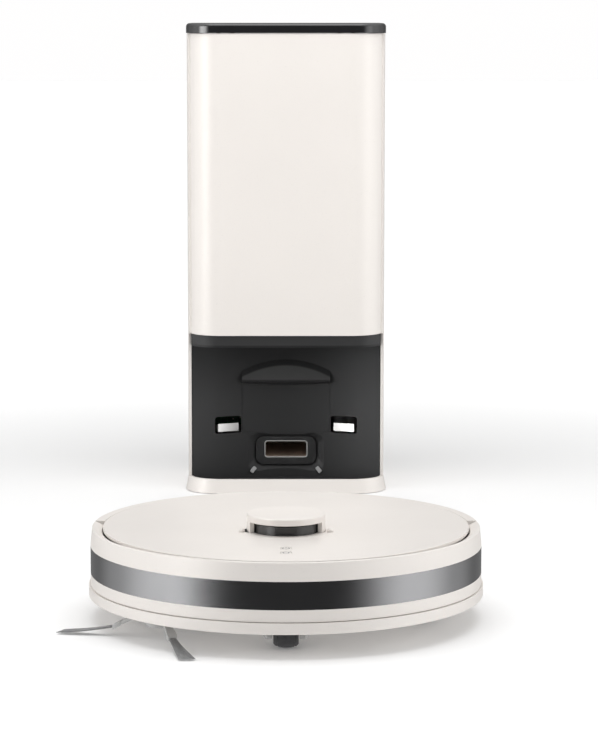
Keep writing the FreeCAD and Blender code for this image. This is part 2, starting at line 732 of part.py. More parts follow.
def dock_fan_housing():
    """Round fan chamber with a collecting skirt above and an exhaust spout behind."""
    top = TUB_BOTTOM - FIT - FILTER_HEIGHT - FIT
    x, y = DOCK_FAN_X, DOCK_FAN_Y
    inner_r = DOCK_FAN_R - DOCK_FAN_WALL
    shell = ring(DOCK_FAN_R, inner_r, (DOCK_FAN_BOTTOM, top), x, y)
    floor = cyl(DOCK_FAN_R, (DOCK_FAN_BOTTOM, DOCK_FAN_BOTTOM + DOCK_FAN_WALL), x, y)
    plate = cyl(DOCK_FAN_R, (DOCK_FAN_PLATE, DOCK_FAN_PLATE + DOCK_FAN_WALL), x, y)
    spout_z = (DOCK_FAN_BOTTOM + 6, DOCK_FAN_PLATE - 6)
    spout = box((x - 18, x + 18), (y, DOCK_REAR - DOCK_WALL - 4), (spout_z[0] - 2, spout_z[1] + 2))
    spout_hole = box((x - 16, x + 16), (y, DOCK_REAR), spout_z)
    inside = cyl(inner_r, (DOCK_FAN_BOTTOM + DOCK_FAN_WALL, DOCK_FAN_PLATE), x, y)
    shaft_hole = cyl(SHAFT_R + 1.5, (DOCK_FAN_BOTTOM - 1, DOCK_FAN_BOTTOM + 5), x, y)
    eye = cyl(15.0, (DOCK_FAN_PLATE - 1, DOCK_FAN_PLATE + 5), x, y)
    solid = join([shell, floor, plate, spout])
    return less(solid, inside, spout_hole, shaft_hole, eye)


def impeller(r, z, shaft_low, x, y):
    """A back disc with eight curved-back blades, a hub and its shaft."""
    disc = cyl(r, (z[0], z[0] + 1.6), x, y)
    hub = cyl(r * 0.28, z, x, y)
    shaft = cyl(SHAFT_R, (shaft_low, z[0] + 1), x, y)
    blades = []
    for index in range(8):
        blade = box((r * 0.2, r * 0.97), (-0.8, 0.8), (z[0] + 1.0, z[1]))
        blade.rotate(V(r * 0.2, 0, 0), V(0, 0, 1), -28)
        blade = blade.common(cyl(r, z))
        blade.rotate(V(0, 0, 0), V(0, 0, 1), 45 * index)
        blade.translate(V(x, y, 0))
        blades.append(blade)
    return join([disc, hub, shaft] + blades)


def dock_fan_impeller():
    """Impeller and shaft of the dock's suction fan."""
    low = DOCK_FAN_BOTTOM + DOCK_FAN_WALL + 5
    z = (low, low + DOCK_IMPELLER_HEIGHT)
    return impeller(DOCK_IMPELLER_R, z, DOCK_FAN_BOTTOM - 22, DOCK_FAN_X, DOCK_FAN_Y)


def dock_fan_motor():
    """Motor can under the fan, on four legs that stand on the plinth's floor."""
    top = DOCK_FAN_BOTTOM - FIT
    low = top - DOCK_MOTOR_HEIGHT
    x, y = DOCK_FAN_X, DOCK_FAN_Y
    can = cyl(DOCK_MOTOR_R, (low, top), x, y)
    bore = cyl(SHAFT_R + RUNNING, (top - 24, top + 1), x, y)
    legs = []
    for dx in (-1, 1):
        for dy in (-1, 1):
            legs.append(cyl(4.0, (FOOT_PROUD + PLINTH_FLOOR, low + 1), x + dx * 16, y + dy * 16))
    return less(join([can] + legs), bore)


def dock_circuit_board():
    """Upright board beside the duct, with a transformer, two capacitors and a connector."""
    y = 24.0
    board = box((-96, -38), (y, y + 1.6), (62, 152))
    transformer = box((-90, -66), (y + 1.6, y + 24), (72, 100))
    caps = [cyl_y(7.0, (y + 1.6, y + 26), -52, z) for z in (80, 100)]
    plug = box((-88, -60), (y + 1.6, y + 10), (132, 142))
    return join([board, transformer, plug] + caps)


def power_inlet():
    """Two-pin mains inlet: a deep socket with its pins, flush in the rear wall."""
    z_mid = INLET_BOTTOM + INLET_HEIGHT / 2
    body = inlet_block(0)
    socket = cyl_y(5.0, (DOCK_REAR - 16, DOCK_REAR + 1), INLET_X - 4.4, z_mid)
    socket = socket.fuse(cyl_y(5.0, (DOCK_REAR - 16, DOCK_REAR + 1), INLET_X + 4.4, z_mid))
    pins = [cyl_y(1.2, (DOCK_REAR - 17, DOCK_REAR - 4), INLET_X + dx, z_mid) for dx in (-4.3, 4.3)]
    return join([body.cut(socket)] + pins)


def exhaust_grille():
    """Slatted plate over the fan's exhaust."""
    plate = grille_block(0)
    low = GRILLE_BOTTOM + 3
    pitch = (GRILLE_HEIGHT - 6) / GRILLE_BARS
    slots = []
    for index in range(GRILLE_BARS):
        z = low + pitch * index
        slots.append(box(
            (DOCK_FAN_X - GRILLE_HALF_WIDTH + 3, DOCK_FAN_X + GRILLE_HALF_WIDTH - 3),
            (DOCK_REAR - DOCK_WALL - 1, DOCK_REAR + 1),
            (z + 1.1, z + pitch - 1.1),
        ))
    return less(plate, *slots)


def dock_lid():
    """Black lid: a shallow tray turned over, with a hinge bar along its rear edge."""
    top = LID_BOTTOM + LID_HEIGHT
    grow = LID_OVERHANG
    body = rounded_block(
        HALF_W + grow,
        (DOCK_FRONT - grow, DOCK_REAR + grow),
        DOCK_FRONT_CORNER_R + grow,
        DOCK_BACK_CORNER_R + grow,
        (LID_BOTTOM, top),
    )
    body = body.makeFillet(LID_EDGE_R, top_edges(body, top))
    hollow = dock_prism(LID_WALL, (LID_BOTTOM - 1, top - LID_WALL))
    bar_front = HINGE_Y - 5.0
    bar_z = (LID_BOTTOM, top - 1)
    bar = box((-HINGE_EAR_X[1] - 8, HINGE_EAR_X[1] + 8), (bar_front, DOCK_REAR - 1), bar_z)
    solid = join([body.cut(hollow), bar])
    slots = []
    for side in (-1, 1):
        for x in HINGE_EAR_X:
            middle = side * x
            half = HINGE_EAR_WIDTH / 2 + 0.4
            z = (LID_BOTTOM - 1, HINGE_Z + HINGE_EAR_R + 0.5)
            slots.append(box((middle - half, middle + half), (bar_front - 1, DOCK_REAR + 2), z))
    for side in (-1, 1):
        ends = sorted((side * (HINGE_EAR_X[0] - 6), side * (HINGE_EAR_X[1] + 6)))
        slots.append(hinge_bore(HINGE_PIN_R + RUNNING, ends))
    return less(solid, *slots)


def dock_lid_hinge_pins():
    """Two steel pins through the rear wall's ears and the lid's hinge bar."""
    pins = []
    for side in (-1, 1):
        ends = sorted((side * (HINGE_EAR_X[0] - 5), side * (HINGE_EAR_X[1] + 5)))
        pins.append(hinge_bore(HINGE_PIN_R, ends))
    return Part.Compound(pins)


def ring_sector(r, x, z, centre_y):
    """The rear part of an upright tube wall that lies between two X values."""
    wall = ring(r[1], r[0], z, 0, centre_y)
    return wall.common(box(x, (centre_y, centre_y + r[1] + 10), (z[0] - 1, z[1] + 1)))


def charge_contact(side):
    """Sprung charging plate with its guide block behind, curved to match the robot's pad."""
    x = span_about(side * CONTACT_X, CONTACT_HALF_WIDTH)
    front_r = PAD_R + CONTACT_GAP
    plate_r = (front_r, front_r + CONTACT_PLATE)
    guide_r = (front_r + CONTACT_PLATE - 0.5, RECESS_R + RECESS_WALL + 1.0)
    guide_x = span_about(side * CONTACT_X, CONTACT_HALF_WIDTH - 3)
    guide_z = (CONTACT_BOTTOM + 1.5, CONTACT_TOP - 1.5)
    plate = ring_sector(plate_r, x, (CONTACT_BOTTOM, CONTACT_TOP), HOME_Y)
    return join([plate, ring_sector(guide_r, guide_x, guide_z, HOME_Y)])


# ---------------------------------------------------------------- robot pieces
def side_profile(inner):
    """Outline of the robot's side wall, with the band's groove, from the flange gap to the rim."""
    low = FLANGE_TOP + GROOVE
    seat = SIDE_R - BAND_THICKNESS - 0.05
    return [
        (SIDE_R, low),
        (SIDE_R, BAND_BOTTOM),
        (seat, BAND_BOTTOM),
        (seat, BAND_TOP),
        (SIDE_R, BAND_TOP),
        (RIM_R, RIM_TOP - 0.8),
        (RIM_R - 0.7, RIM_TOP),
    ] + inner + [(SIDE_R - SIDE_WALL, low)]


def bumper():
    """Front bumper: side wall, and a lip that slopes down inwards to the top cover's edge."""
    inner_r = LID_HALF_X - 6
    lip_r = RIM_R - 1.4
    drop = LIP_SLOPE * (lip_r - inner_r)
    wall_r = SIDE_R - SIDE_WALL
    profile = side_profile([
        (lip_r, RIM_TOP),
        (inner_r, RIM_TOP - drop),
        (inner_r, RIM_TOP - drop - LIP_THICKNESS),
        (wall_r - 1.4, RIM_TOP - LIP_THICKNESS - LIP_SLOPE * (lip_r - wall_r + 1.4)),
        (wall_r, BAND_TOP),
    ])
    half_x = LID_HALF_X + LIP_GAP_X
    half_y = LID_HALF_Y + LIP_GAP_Y
    opening = ellipse_prism(half_x, half_y, (INNER_WALL_TOP - 2, RIM_TOP + 5))
    return lathe(profile).cut(opening).common(all_y((-400, BUMPER_END)))


def band_ring():
    """The glossy band as a full ring."""
    return ring(SIDE_R, SIDE_R - BAND_THICKNESS, (BAND_BOTTOM + 0.05, BAND_TOP - 0.05))


def bumper_band():
    """Glossy dark band set into the bumper."""
    return band_ring().common(all_y((-400, BUMPER_END)))


def rear_opening(grow):
    """The dust bin's opening in the rear of the body."""
    half = BIN_HALF_WIDTH + grow
    return box((-half, half), (BIN_FRONT - 2, 400), (FLANGE_TOP, BIN_TOP + grow))


def robot_rear_band():
    """The band carried on round the rear body, either side of the dust bin."""
    band = band_ring().common(all_y((REAR_BODY_START, 400)))
    return Part.Compound(band.cut(rear_opening(BIN_GAP)).Solids)


def pad_sector(side, r, grow):
    """The space of one charging pad in the rear of the body."""
    x = span_about(side * CONTACT_X, CONTACT_HALF_WIDTH + grow)
    return ring_sector(r, x, (BAND_TOP + 1.0 - grow, CONTACT_TOP + grow), 0)


def robot_charge_pads():
    """Two metal pads at the rear."""
    r = (PAD_R - PAD_THICKNESS, PAD_R)
    return Part.Compound([pad_sector(side, r, 0) for side in (-1, 1)])


def robot_shell():
    """White rear body with the rim round the top cover and the inner deck that carries it."""
    rim_inner = LID_HALF_X - 8
    profile = side_profile([
        (RIM_R - 0.8, DECK_TOP),
        (rim_inner, DECK_TOP),
        (rim_inner, DECK_TOP - LID_PLATE - DECK_GAP),
        (SIDE_R - SIDE_WALL - 1.0, DECK_TOP - LID_PLATE - DECK_GAP),
        (SIDE_R - SIDE_WALL - 1.0, DECK_UNDER),
        (SIDE_R - SIDE_WALL, BAND_TOP),
    ])
    seat_z = (DECK_TOP - LID_PLATE - DECK_GAP, DECK_TOP + 5)
    seat = ellipse_prism(LID_HALF_X + SEAM, LID_HALF_Y + SEAM, seat_z)
    rear = lathe(profile).cut(seat).common(all_y((REAR_BODY_START, 400)))
    deck_z = (DECK_UNDER, DECK_UNDER + DECK_PLATE)
    deck = ellipse_prism(LID_HALF_X - DECK_INSET_X, LID_HALF_Y - DECK_INSET_Y, deck_z)
    rear_deck = cyl(SIDE_R - SIDE_WALL - 0.5, deck_z).common(all_y((REAR_BODY_START, 400)))
    turret_hole = cyl(TURRET_R + 1.5, (0, 100), 0, TURRET_Y)
    keys_hole = box((-8, 8), (HOME_KEY_Y - 9, POWER_KEY_Y + 9), (0, 100))
    pads = [pad_sector(side, (PAD_R - PAD_THICKNESS - 0.05, PAD_R + 5), 0.1) for side in (-1, 1)]
    solid = join([rear, deck, rear_deck])
    return less(solid, turret_hole, keys_hole, rear_opening(BIN_GAP), *pads)


def key_block(y, half_width, length, z):
    """A stadium-shaped key outline."""
    block = rounded_block(half_width, (-length / 2, length / 2), half_width - 0.01, half_width - 0.01, z)
    block.translate(V(0, y, 0))
    return block


def post_ring(grow, z):
    """The turret's two side posts, grown by a gap."""
    wall = ring(TURRET_R + grow, POST_INNER_R - grow, z, 0, TURRET_Y)
    half = POST_HALF_DEPTH + grow
    return wall.common(box((-60, 60), (TURRET_Y - half, TURRET_Y + half), (0, 200)))


def top_cover():
    """White cover plate with the turret's opening, two keys' openings and two dimples."""
    z = (DECK_TOP - LID_PLATE, DECK_TOP)
    cut_z = (z[0] - 1, z[1] + 1)
    plate = ellipse_prism(LID_HALF_X, LID_HALF_Y, z)
    plate = plate.makeChamfer(0.4, top_edges(plate, DECK_TOP))
    cuts = [cyl(LIDAR_R + 0.7, cut_z, 0, TURRET_Y), post_ring(0.4, cut_z)]
    for y in (POWER_KEY_Y, HOME_KEY_Y):
        cuts.append(key_block(y, KEY_HALF_WIDTH + KEY_GAP, KEY_LENGTH + 2 * KEY_GAP, cut_z))
    for side in (-1, 1):
        cuts.append(cyl(DIMPLE_R, (DECK_TOP - 1.6, DECK_TOP + 1), side * DIMPLE_X, DIMPLE_Y))
        cuts.append(cyl(1.25, cut_z, side * DIMPLE_X, DIMPLE_Y))
    return less(plate, *cuts)


def push_key(y):
    """One key: cap and stem."""
    cap = key_block(y, KEY_HALF_WIDTH, KEY_LENGTH, (DECK_TOP - LID_PLATE, DECK_TOP))
    stem = cyl(2.2, (DECK_UNDER - 3, DECK_TOP - LID_PLATE), 0, y)
    return join([cap, stem])


def turret_cap():
    """White cap of the laser turret, on its two side posts."""
    disc = cyl(TURRET_R, (CAP_BOTTOM, TURRET_TOP), 0, TURRET_Y)
    disc = disc.makeFillet(CAP_EDGE_R, top_edges(disc, TURRET_TOP))
    return join([disc, post_ring(0, (POST_BOTTOM, CAP_BOTTOM + 1))])


def lidar_head():
    """Dark spinning laser head on its turntable."""
    top = CAP_BOTTOM - LIDAR_CAP_GAP
    turntable_top = TURNTABLE_BOTTOM + TURNTABLE_HEIGHT
    head = cyl(LIDAR_R, (turntable_top, top), 0, TURRET_Y)
    table = cyl(TURNTABLE_R, (TURNTABLE_BOTTOM, turntable_top), 0, TURRET_Y)
    window = box((-9, 9), (TURRET_Y - LIDAR_R - 1, TURRET_Y - LIDAR_R + 3), (turntable_top + 18, top - 2))
    spigot = cyl(6.0, (TURNTABLE_BOTTOM - 5, TURNTABLE_BOTTOM + 1), 0, TURRET_Y)
    return less(join([head, table, spigot]), window)


def pulley_y():
    """Where the small belt pulley stands."""
    return TURRET_Y - PULLEY_AHEAD


def lidar_base():
    """Round carrier under the inner deck, with the turntable's bearing and the small motor."""
    z = (TURNTABLE_BOTTOM - 3.5, TURNTABLE_BOTTOM - 0.7)
    plate = cyl(LIDAR_BASE_R, z, 0, TURRET_Y)
    wall = ring(LIDAR_BASE_R, LIDAR_BASE_R - 2, (z[0], DECK_UNDER), 0, TURRET_Y)
    tongue = box((-12, 12), (pulley_y() - 14, TURRET_Y - 30), z)
    motor = cyl(8.0, (z[0] - 14, z[0] + 0.5), 0, pulley_y())
    gate = box((-14, 14), (pulley_y() - 20, TURRET_Y - 20), (z[1], DECK_UNDER + 1))
    bearing = cyl(6.0 + RUNNING, (z[0] - 1, z[1] + 1), 0, TURRET_Y)
    shaft_hole = cyl(1.0 + RUNNING, (z[0] - 10, z[1] + 1), 0, pulley_y())
    solid = join([plate, wall, tongue, motor])
    return less(solid, gate, bearing, shaft_hole, chamber_block(CHAMBER_GAP))


def lidar_pulley():
    """Small motor pulley and shaft."""
    z = (TURNTABLE_BOTTOM, TURNTABLE_BOTTOM + TURNTABLE_HEIGHT)
    shaft = cyl(1.0, (TURNTABLE_BOTTOM - 11, TURNTABLE_BOTTOM + 1), 0, pulley_y())
    return join([cyl(PULLEY_R, z, 0, pulley_y()), shaft])


def belt_loop(grow, z):
    """The open belt's outline round both pulleys, at a distance from their rims."""
    big = TURNTABLE_R + grow
    small = PULLEY_R + grow
    lean = math.asin((big - small) / PULLEY_AHEAD)
    points = []
    for r, y in ((big, TURRET_Y), (small, pulley_y())):
        points.append(V(r * math.cos(lean), y - r * math.sin(lean), z[0]))
    (a, b) = points
    mirrored = [V(-b.x, b.y, z[0]), V(-a.x, a.y, z[0])]
    sides = polygon_face([a, b] + mirrored).extrude(V(0, 0, z[1] - z[0]))
    return join([sides, cyl(big, z, 0, TURRET_Y), cyl(small, z, 0, pulley_y())])


def lidar_belt():
    """Rubber belt from the small pulley to the turntable."""
    z = (TURNTABLE_BOTTOM + 1, TURNTABLE_BOTTOM + TURNTABLE_HEIGHT - 1)
    return belt_loop(BELT_GAP + BELT_THICKNESS, z).cut(belt_loop(BELT_GAP, (z[0] - 1, z[1] + 1)))


def well(side):
    """One wheel's opening in the base."""
    inner = WHEEL_X - TYRE_WIDTH / 2 - 1.5 - ARM_THICKNESS - 0.3
    outer = WHEEL_X + TYRE_WIDTH / 2 + 5.0
    y = (PIVOT_Y - WELL_AHEAD, WHEEL_Y + WHEEL_R + WELL_BEHIND)
    return box(sorted((side * inner, side * outer)), y, (0, BASE_TOP + 1))


def pivot_lug(side):
    """The base's lug for one wheel arm's pivot."""
    outer = WHEEL_X - TYRE_WIDTH / 2 - 1.5 - ARM_THICKNESS - 0.3
    x = sorted((side * (outer - 7), side * outer))
    block = box(x, (PIVOT_Y - 8, PIVOT_Y + 8), (FLANGE_BOTTOM, PIVOT_Z + 8))
    return block.cut(cyl_x(AXLE_R + RUNNING, (x[0] - 1, x[1] + 1), PIVOT_Y, PIVOT_Z))


def screw_places():
    """Screws in the underside, clear of everything that passes through it."""
    places = []
    for angle in (30, 62, 118, 150, 232, 308):
        places.append((158 * math.cos(math.radians(angle)), 158 * math.sin(math.radians(angle))))
    return places


def chamber_block(grow):
    """The outside of the main brush's tunnel, grown by a gap."""
    reach_x = MOUTH_HALF_X + CHAMBER_WALL + grow
    reach_y = MOUTH_HALF_Y + CHAMBER_WALL + grow
    top = MAIN_BRUSH_Z + MAIN_BRUSH_R + MAIN_BRUSH_CLEAR + CHAMBER_WALL
    return box((-reach_x, reach_x), span_about(MAIN_BRUSH_Y, reach_y), (FLANGE_BOTTOM - grow, top + grow))


def brush_chamber():
    """The main brush's tunnel on the base, open below and towards the dust bin."""
    top = MAIN_BRUSH_Z + MAIN_BRUSH_R + MAIN_BRUSH_CLEAR
    block = chamber_block(0)
    inside = box(
        (-MOUTH_HALF_X, MOUTH_HALF_X),
        (MAIN_BRUSH_Y - MOUTH_HALF_Y, MAIN_BRUSH_Y + MOUTH_HALF_Y),
        (0, top),
    )
    throat = box((-34, 34), (MAIN_BRUSH_Y, BIN_FRONT), (BIN_BOTTOM + 4, top - 4))
    return less(block, inside, throat)


def robot_base():
    """White base tray: flange, floor, inner wall behind the bumper, lugs, brush tunnel and caster well."""
    floor = cyl(FLANGE_R - 1, (FLANGE_BOTTOM, BASE_TOP))
    flange = ring(FLANGE_R, FLANGE_R - FLANGE_WALL, (FLANGE_BOTTOM, FLANGE_TOP))
    flange = flange.makeFillet(1.2, top_edges(flange, FLANGE_BOTTOM)[:1])
    inner = ring(INNER_WALL_R, INNER_WALL_R - INNER_WALL, (FLANGE_BOTTOM, INNER_WALL_TOP))
    inner = inner.common(all_y((-400, REAR_BODY_START)))
    mouth = box(
        (-MOUTH_HALF_X, MOUTH_HALF_X),
        (MAIN_BRUSH_Y - MOUTH_HALF_Y, MAIN_BRUSH_Y + MOUTH_HALF_Y),
        (0, BASE_TOP + 1),
    )
    caster_r = CASTER_HOLDER_R + CASTER_GAP
    caster_wall = ring(caster_r + 2.2, caster_r, (FLANGE_BOTTOM, CASTER_HOLDER_TOP + 3), 0, CASTER_Y)
    caster_roof = cyl(caster_r + 2.2, (CASTER_HOLDER_TOP + 0.6, CASTER_HOLDER_TOP + 3), 0, CASTER_Y)
    caster_hole = cyl(caster_r, (0, CASTER_HOLDER_TOP + 0.6), 0, CASTER_Y)
    brush_hole = cyl(SHAFT_R + 0.4, (0, 60), BRUSH_X, BRUSH_Y)
    holes = [mouth, well(-1), well(1), caster_hole, brush_hole]
    for x, y in screw_places():
        holes.append(cyl(2.9, (0, FLANGE_BOTTOM + 1.5), x, y))
        holes.append(cyl(1.25, (0, BASE_TOP + 1), x, y))
    solid = join([floor, flange, inner])
    solid = less(solid, *holes)
    solid = join([solid, caster_wall, caster_roof, brush_chamber(), pivot_lug(-1), pivot_lug(1)])
    reach = MOUTH_HALF_X + CHAMBER_WALL
    bearing = cyl_x(SHAFT_R + RUNNING, (-reach, reach), MAIN_BRUSH_Y, MAIN_BRUSH_Z)
    return less(solid, bearing, *sensor_blocks(0.1))


def robot_screws():
    """Underside screws and the two domed ones beside the turret."""
    screws = []
    for x, y in screw_places():
        head = cyl(2.6, (FLANGE_BOTTOM + 0.2, FLANGE_BOTTOM + 1.5), x, y)
        screws.append(join([head, cyl(1.2, (FLANGE_BOTTOM + 1.4, BASE_TOP + 4), x, y)]))
    for side in (-1, 1):
        outline_points = [(0, -LID_PLATE), (1.2, -LID_PLATE), (1.2, -1.6)] + STUD_PROFILE
        profile = [(r, DECK_TOP + z) for r, z in outline_points]
        screws.append(lathe(profile, side * DIMPLE_X, DIMPLE_Y))
    return Part.Compound(screws)


def bumper_springs():
    """Two short springs between the base's inner wall and the bumper."""
    springs = []
    low = INNER_WALL_R + 0.1
    high = SIDE_R - SIDE_WALL - 0.1
    for angle in (60, 120):
        coil = Part.makeCylinder(SPRING_R, 20.0, V(INNER_WALL_R - 5, 0, SPRING_Z), V(1, 0, 0))
        coil = coil.common(ring(high, low, (0, 100)))
        coil.rotate(V(0, 0, 0), V(0, 0, 1), -angle)
        springs.append(coil)
    return Part.Compound(springs)


def sensor_blocks(grow):
    """The spaces of the floor sensors' windows, near the front edge of the underside."""
    blocks = []
    for angle in SENSOR_ANGLES:
        z = (FLANGE_BOTTOM - 1 - grow, FLANGE_BOTTOM + 1.6)
        block = rounded_block(11.0 + grow, (-4.0 - grow, 4.0 + grow), 3.9, 3.9, z)
        block.translate(V(0, -SENSOR_R, 0))
        block.rotate(V(0, 0, 0), V(0, 0, 1), angle)
        blocks.append(block)
    return blocks


def cliff_sensors():
    """Dark windows of the floor sensors."""
    floor = box((-200, 200), (-200, 200), (FLANGE_BOTTOM + 0.1, FLANGE_BOTTOM + 1.6))
    return Part.Compound([block.common(floor) for block in sensor_blocks(0)])


def control_board():
    """Main circuit board with its processor, connectors and a capacitor row."""
    z = 36.0
    board = box((-68, 68), (-78, 2), (z, z + 1.6))
    chip = box((-12, 12), (-50, -26), (z + 1.6, z + 4.2))
    plugs = [box((x - 7, x + 7), (-76, -68), (z + 1.6, z + 9)) for x in (-54, -30, 30, 54)]
    caps = [cyl(4.0, (z + 1.6, z + 13), x, -8) for x in (-56, -44, 44, 56)]
    posts = [cyl(3.0, (BASE_TOP, z), x, y) for x in (-62, 62) for y in (-72, -4)]
    return join([board, chip] + plugs + caps + posts)


def battery_pack():
    """Wrapped pack of cells over the caster, with round ends."""
    z_mid = CASTER_HOLDER_TOP + 3 + 2 + 10.5
    cells = []
    for row in range(2):
        for column in range(3):
            cells.append(cyl_x(9.4, (-60 + column * 40.4, -20.8 + column * 40.4), -130 + row * 20, z_mid))
    case = box((-61, 61), (-140.5, -99.5), (z_mid - 10.4, z_mid + 10.4))
    return join([case] + cells)


def caster_holder():
    """Swivelling socket of the front caster, light grey, with a slot for the wheel."""
    z = (CASTER_HOLDER_BOTTOM, CASTER_HOLDER_TOP)
    body = cyl(CASTER_HOLDER_R, z, 0, CASTER_Y)
    body = body.makeFillet(1.5, top_edges(body, z[0]))
    half = CASTER_WHEEL_WIDTH / 2 + CASTER_GAP
    r = CASTER_WHEEL_R + CASTER_GAP
    slot = box((-half, half), (CASTER_WHEEL_Y - r, CASTER_WHEEL_Y + r), (0, CASTER_WHEEL_R + r))
    bore = cyl_x(CASTER_AXLE_R + 0.02, (-30, 30), CASTER_WHEEL_Y, CASTER_WHEEL_R)
    cheek_x = (-CASTER_CHEEK_HALF_X, CASTER_CHEEK_HALF_X)
    cheek_y = (CASTER_WHEEL_Y - CASTER_CHEEK_HALF_Y, CASTER_WHEEL_Y + CASTER_CHEEK_HALF_Y)
    cheek_z = (CASTER_WHEEL_R - CASTER_CHEEK_DROP, z[0] + 6)
    cheek = box(cheek_x, cheek_y, cheek_z).common(cyl(CASTER_HOLDER_R - 0.3, cheek_z, 0, CASTER_Y))
    cheek = cheek.makeFillet(2.0, top_edges(cheek, cheek_z[0]))
    return less(join([body, cheek]), slot, bore)


def caster_wheel():
    """Black crowned caster wheel."""
    half = CASTER_WHEEL_WIDTH / 2
    edge = CASTER_WHEEL_R - CASTER_CROWN
    bore = CASTER_AXLE_R + 0.08
    profile = [
        (-half, bore),
        (-half, edge - 1.5),
        (-half * 0.86, edge),
        (-half * 0.4, CASTER_WHEEL_R - 0.35),
        (0, CASTER_WHEEL_R),
        (half * 0.4, CASTER_WHEEL_R - 0.35),
        (half * 0.86, edge),
        (half, edge - 1.5),
        (half, bore),
    ]
    return lathe_x(profile, 0, CASTER_WHEEL_Y, CASTER_WHEEL_R)


def caster_axle():
    """Steel pin of the caster wheel."""
    reach = CASTER_WHEEL_WIDTH / 2 + CASTER_GAP + 3.5
    return cyl_x(CASTER_AXLE_R, (-reach, reach), CASTER_WHEEL_Y, CASTER_WHEEL_R)


def side_arm(profile, widths, angle):
    """One arm of the side brush: a (radius, height) outline with a width at its root and tip."""
    face = polygon_face([V(r, -30, z) for r, z in profile])
    slab = face.extrude(V(0, 60, 0))
    start = min(r for r, z in profile)
    end = max(r for r, z in profile)
    w0, w1 = widths
    plan = [V(start, -w0 / 2, 0), V(end, -w1 / 2, 0), V(end, w1 / 2, 0), V(start, w0 / 2, 0)]
    arm = slab.common(polygon_face(plan).extrude(V(0, 0, 60)))
    arm.rotate(V(0, 0, 0), V(0, 0, 1), angle)
    arm.translate(V(BRUSH_X, BRUSH_Y, 0))
    return arm


def side_brush_hub():
    """Grey hub of the side brush with its three rubber arms and the drive shaft."""
    hub = cyl(SIDE_HUB_R, (SIDE_HUB_BOTTOM, SIDE_HUB_TOP), BRUSH_X, BRUSH_Y)
    hub = hub.makeFillet(3.0, top_edges(hub, SIDE_HUB_BOTTOM))
    shaft = cyl(SHAFT_R, (SIDE_HUB_TOP - 1, BASE_TOP + 9), BRUSH_X, BRUSH_Y)
    profile = [(6, 20.4), (23, 19.6), (SIDE_ARM_END, 10.4), (SIDE_ARM_END, 7.2), (22, 16.0), (6, 16.4)]
    arms = [side_arm(profile, (SIDE_ARM_WIDTH + 1.4, SIDE_ARM_WIDTH), a) for a in SIDE_ARM_ANGLES]
    return join([hub, shaft] + arms)


def side_brush_bristles():
    """Three flat tufts that fan out from the arms to the floor."""
    tufts = []
    start = SIDE_ARM_END + 0.02
    profile = [(start, 10.0), (62, 5.4), (SIDE_BRUSH_R, 2.4), (SIDE_BRUSH_R, 0.8), (62, 3.4), (start, 7.6)]
    for angle in SIDE_ARM_ANGLES:
        tufts.append(side_arm(profile, (SIDE_ARM_WIDTH - 1.0, SIDE_TIP_WIDTH), angle))
    return Part.Compound(tufts)


def side_brush_motor():
    """Geared motor of the side brush, on the base."""
    z = (BASE_TOP + FIT, BASE_TOP + 34)
    can = cyl(14.0, z, BRUSH_X, BRUSH_Y)
    gearbox = box((BRUSH_X - 6, BRUSH_X + 26), (BRUSH_Y - 10, BRUSH_Y + 12), (z[0], z[0] + 12))
    bore = cyl(SHAFT_R + RUNNING, (0, BASE_TOP + 10), BRUSH_X, BRUSH_Y)
    return less(join([can, gearbox]), bore)


def wheel_arm(side):
    """One wheel's swing arm with its gear case, pivot pin and wheel axle."""
    inner = WHEEL_X - TYRE_WIDTH / 2 - 1.5 - ARM_THICKNESS
    outer = inner + ARM_THICKNESS
    x = (inner, outer)
    pad = cyl_x(17.0, x, WHEEL_Y, WHEEL_R)
    neck = box(x, (PIVOT_Y, WHEEL_Y), (WHEEL_R - 6, PIVOT_Z + 6))
    eye = cyl_x(8.0, x, PIVOT_Y, PIVOT_Z)
    pin = cyl_x(AXLE_R, (inner - 6.5, inner + 1), PIVOT_Y, PIVOT_Z)
    axle = cyl_x(AXLE_R, (outer - 1, WHEEL_X + TYRE_WIDTH / 2 - 4.0), WHEEL_Y, WHEEL_R)
    arm = join([pad, neck, eye, pin, axle])
    return arm if side > 0 else arm.mirror(V(0, 0, 0), V(1, 0, 0))


def wheel_hub(side):
    """One drive wheel's spoked hub."""
    half = TYRE_WIDTH / 2 - 1.0
    x = (WHEEL_X - half, WHEEL_X + half)
    drum = cyl_x(WHEEL_HUB_R - 0.05, x, WHEEL_Y, WHEEL_R)
    bore = cyl_x(AXLE_R + RUNNING, (x[0] - 1, x[1] - 2.6), WHEEL_Y, WHEEL_R)
    dish = lathe_x([(0, 9), (0, 24), (2.5, 24), (2.5, 9)], x[1] - 2.4, WHEEL_Y, WHEEL_R)
    spokes = [cyl_x(3.6, (x[0] - 1, x[1] + 1), WHEEL_Y + 16 * math.cos(a), WHEEL_R + 16 * math.sin(a))
              for a in [math.radians(60 * k) for k in range(6)]]
    hub = less(drum, bore, dish, *spokes)
    return hub if side > 0 else hub.mirror(V(0, 0, 0), V(1, 0, 0))


def tyre(side):
    """One rubber tyre with cross treads."""
    half = TYRE_WIDTH / 2
    x = (WHEEL_X - half, WHEEL_X + half)
    band = cyl_x(WHEEL_R, x, WHEEL_Y, WHEEL_R)
    band = band.cut(cyl_x(WHEEL_HUB_R, (x[0] - 1, x[1] + 1), WHEEL_Y, WHEEL_R))
    grooves = []
    for index in range(TREADS):
        groove = box((x[0] - 1, x[1] + 1), (-1.3, 1.3), (WHEEL_R - 1.6, WHEEL_R + 2))
        groove.rotate(V(0, 0, 0), V(1, 0, 0), 360 / TREADS * (index + 0.5))
        groove.translate(V(0, WHEEL_Y, WHEEL_R))
        grooves.append(groove)
    rubber = less(band, *grooves)
    return rubber if side > 0 else rubber.mirror(V(0, 0, 0), V(1, 0, 0))


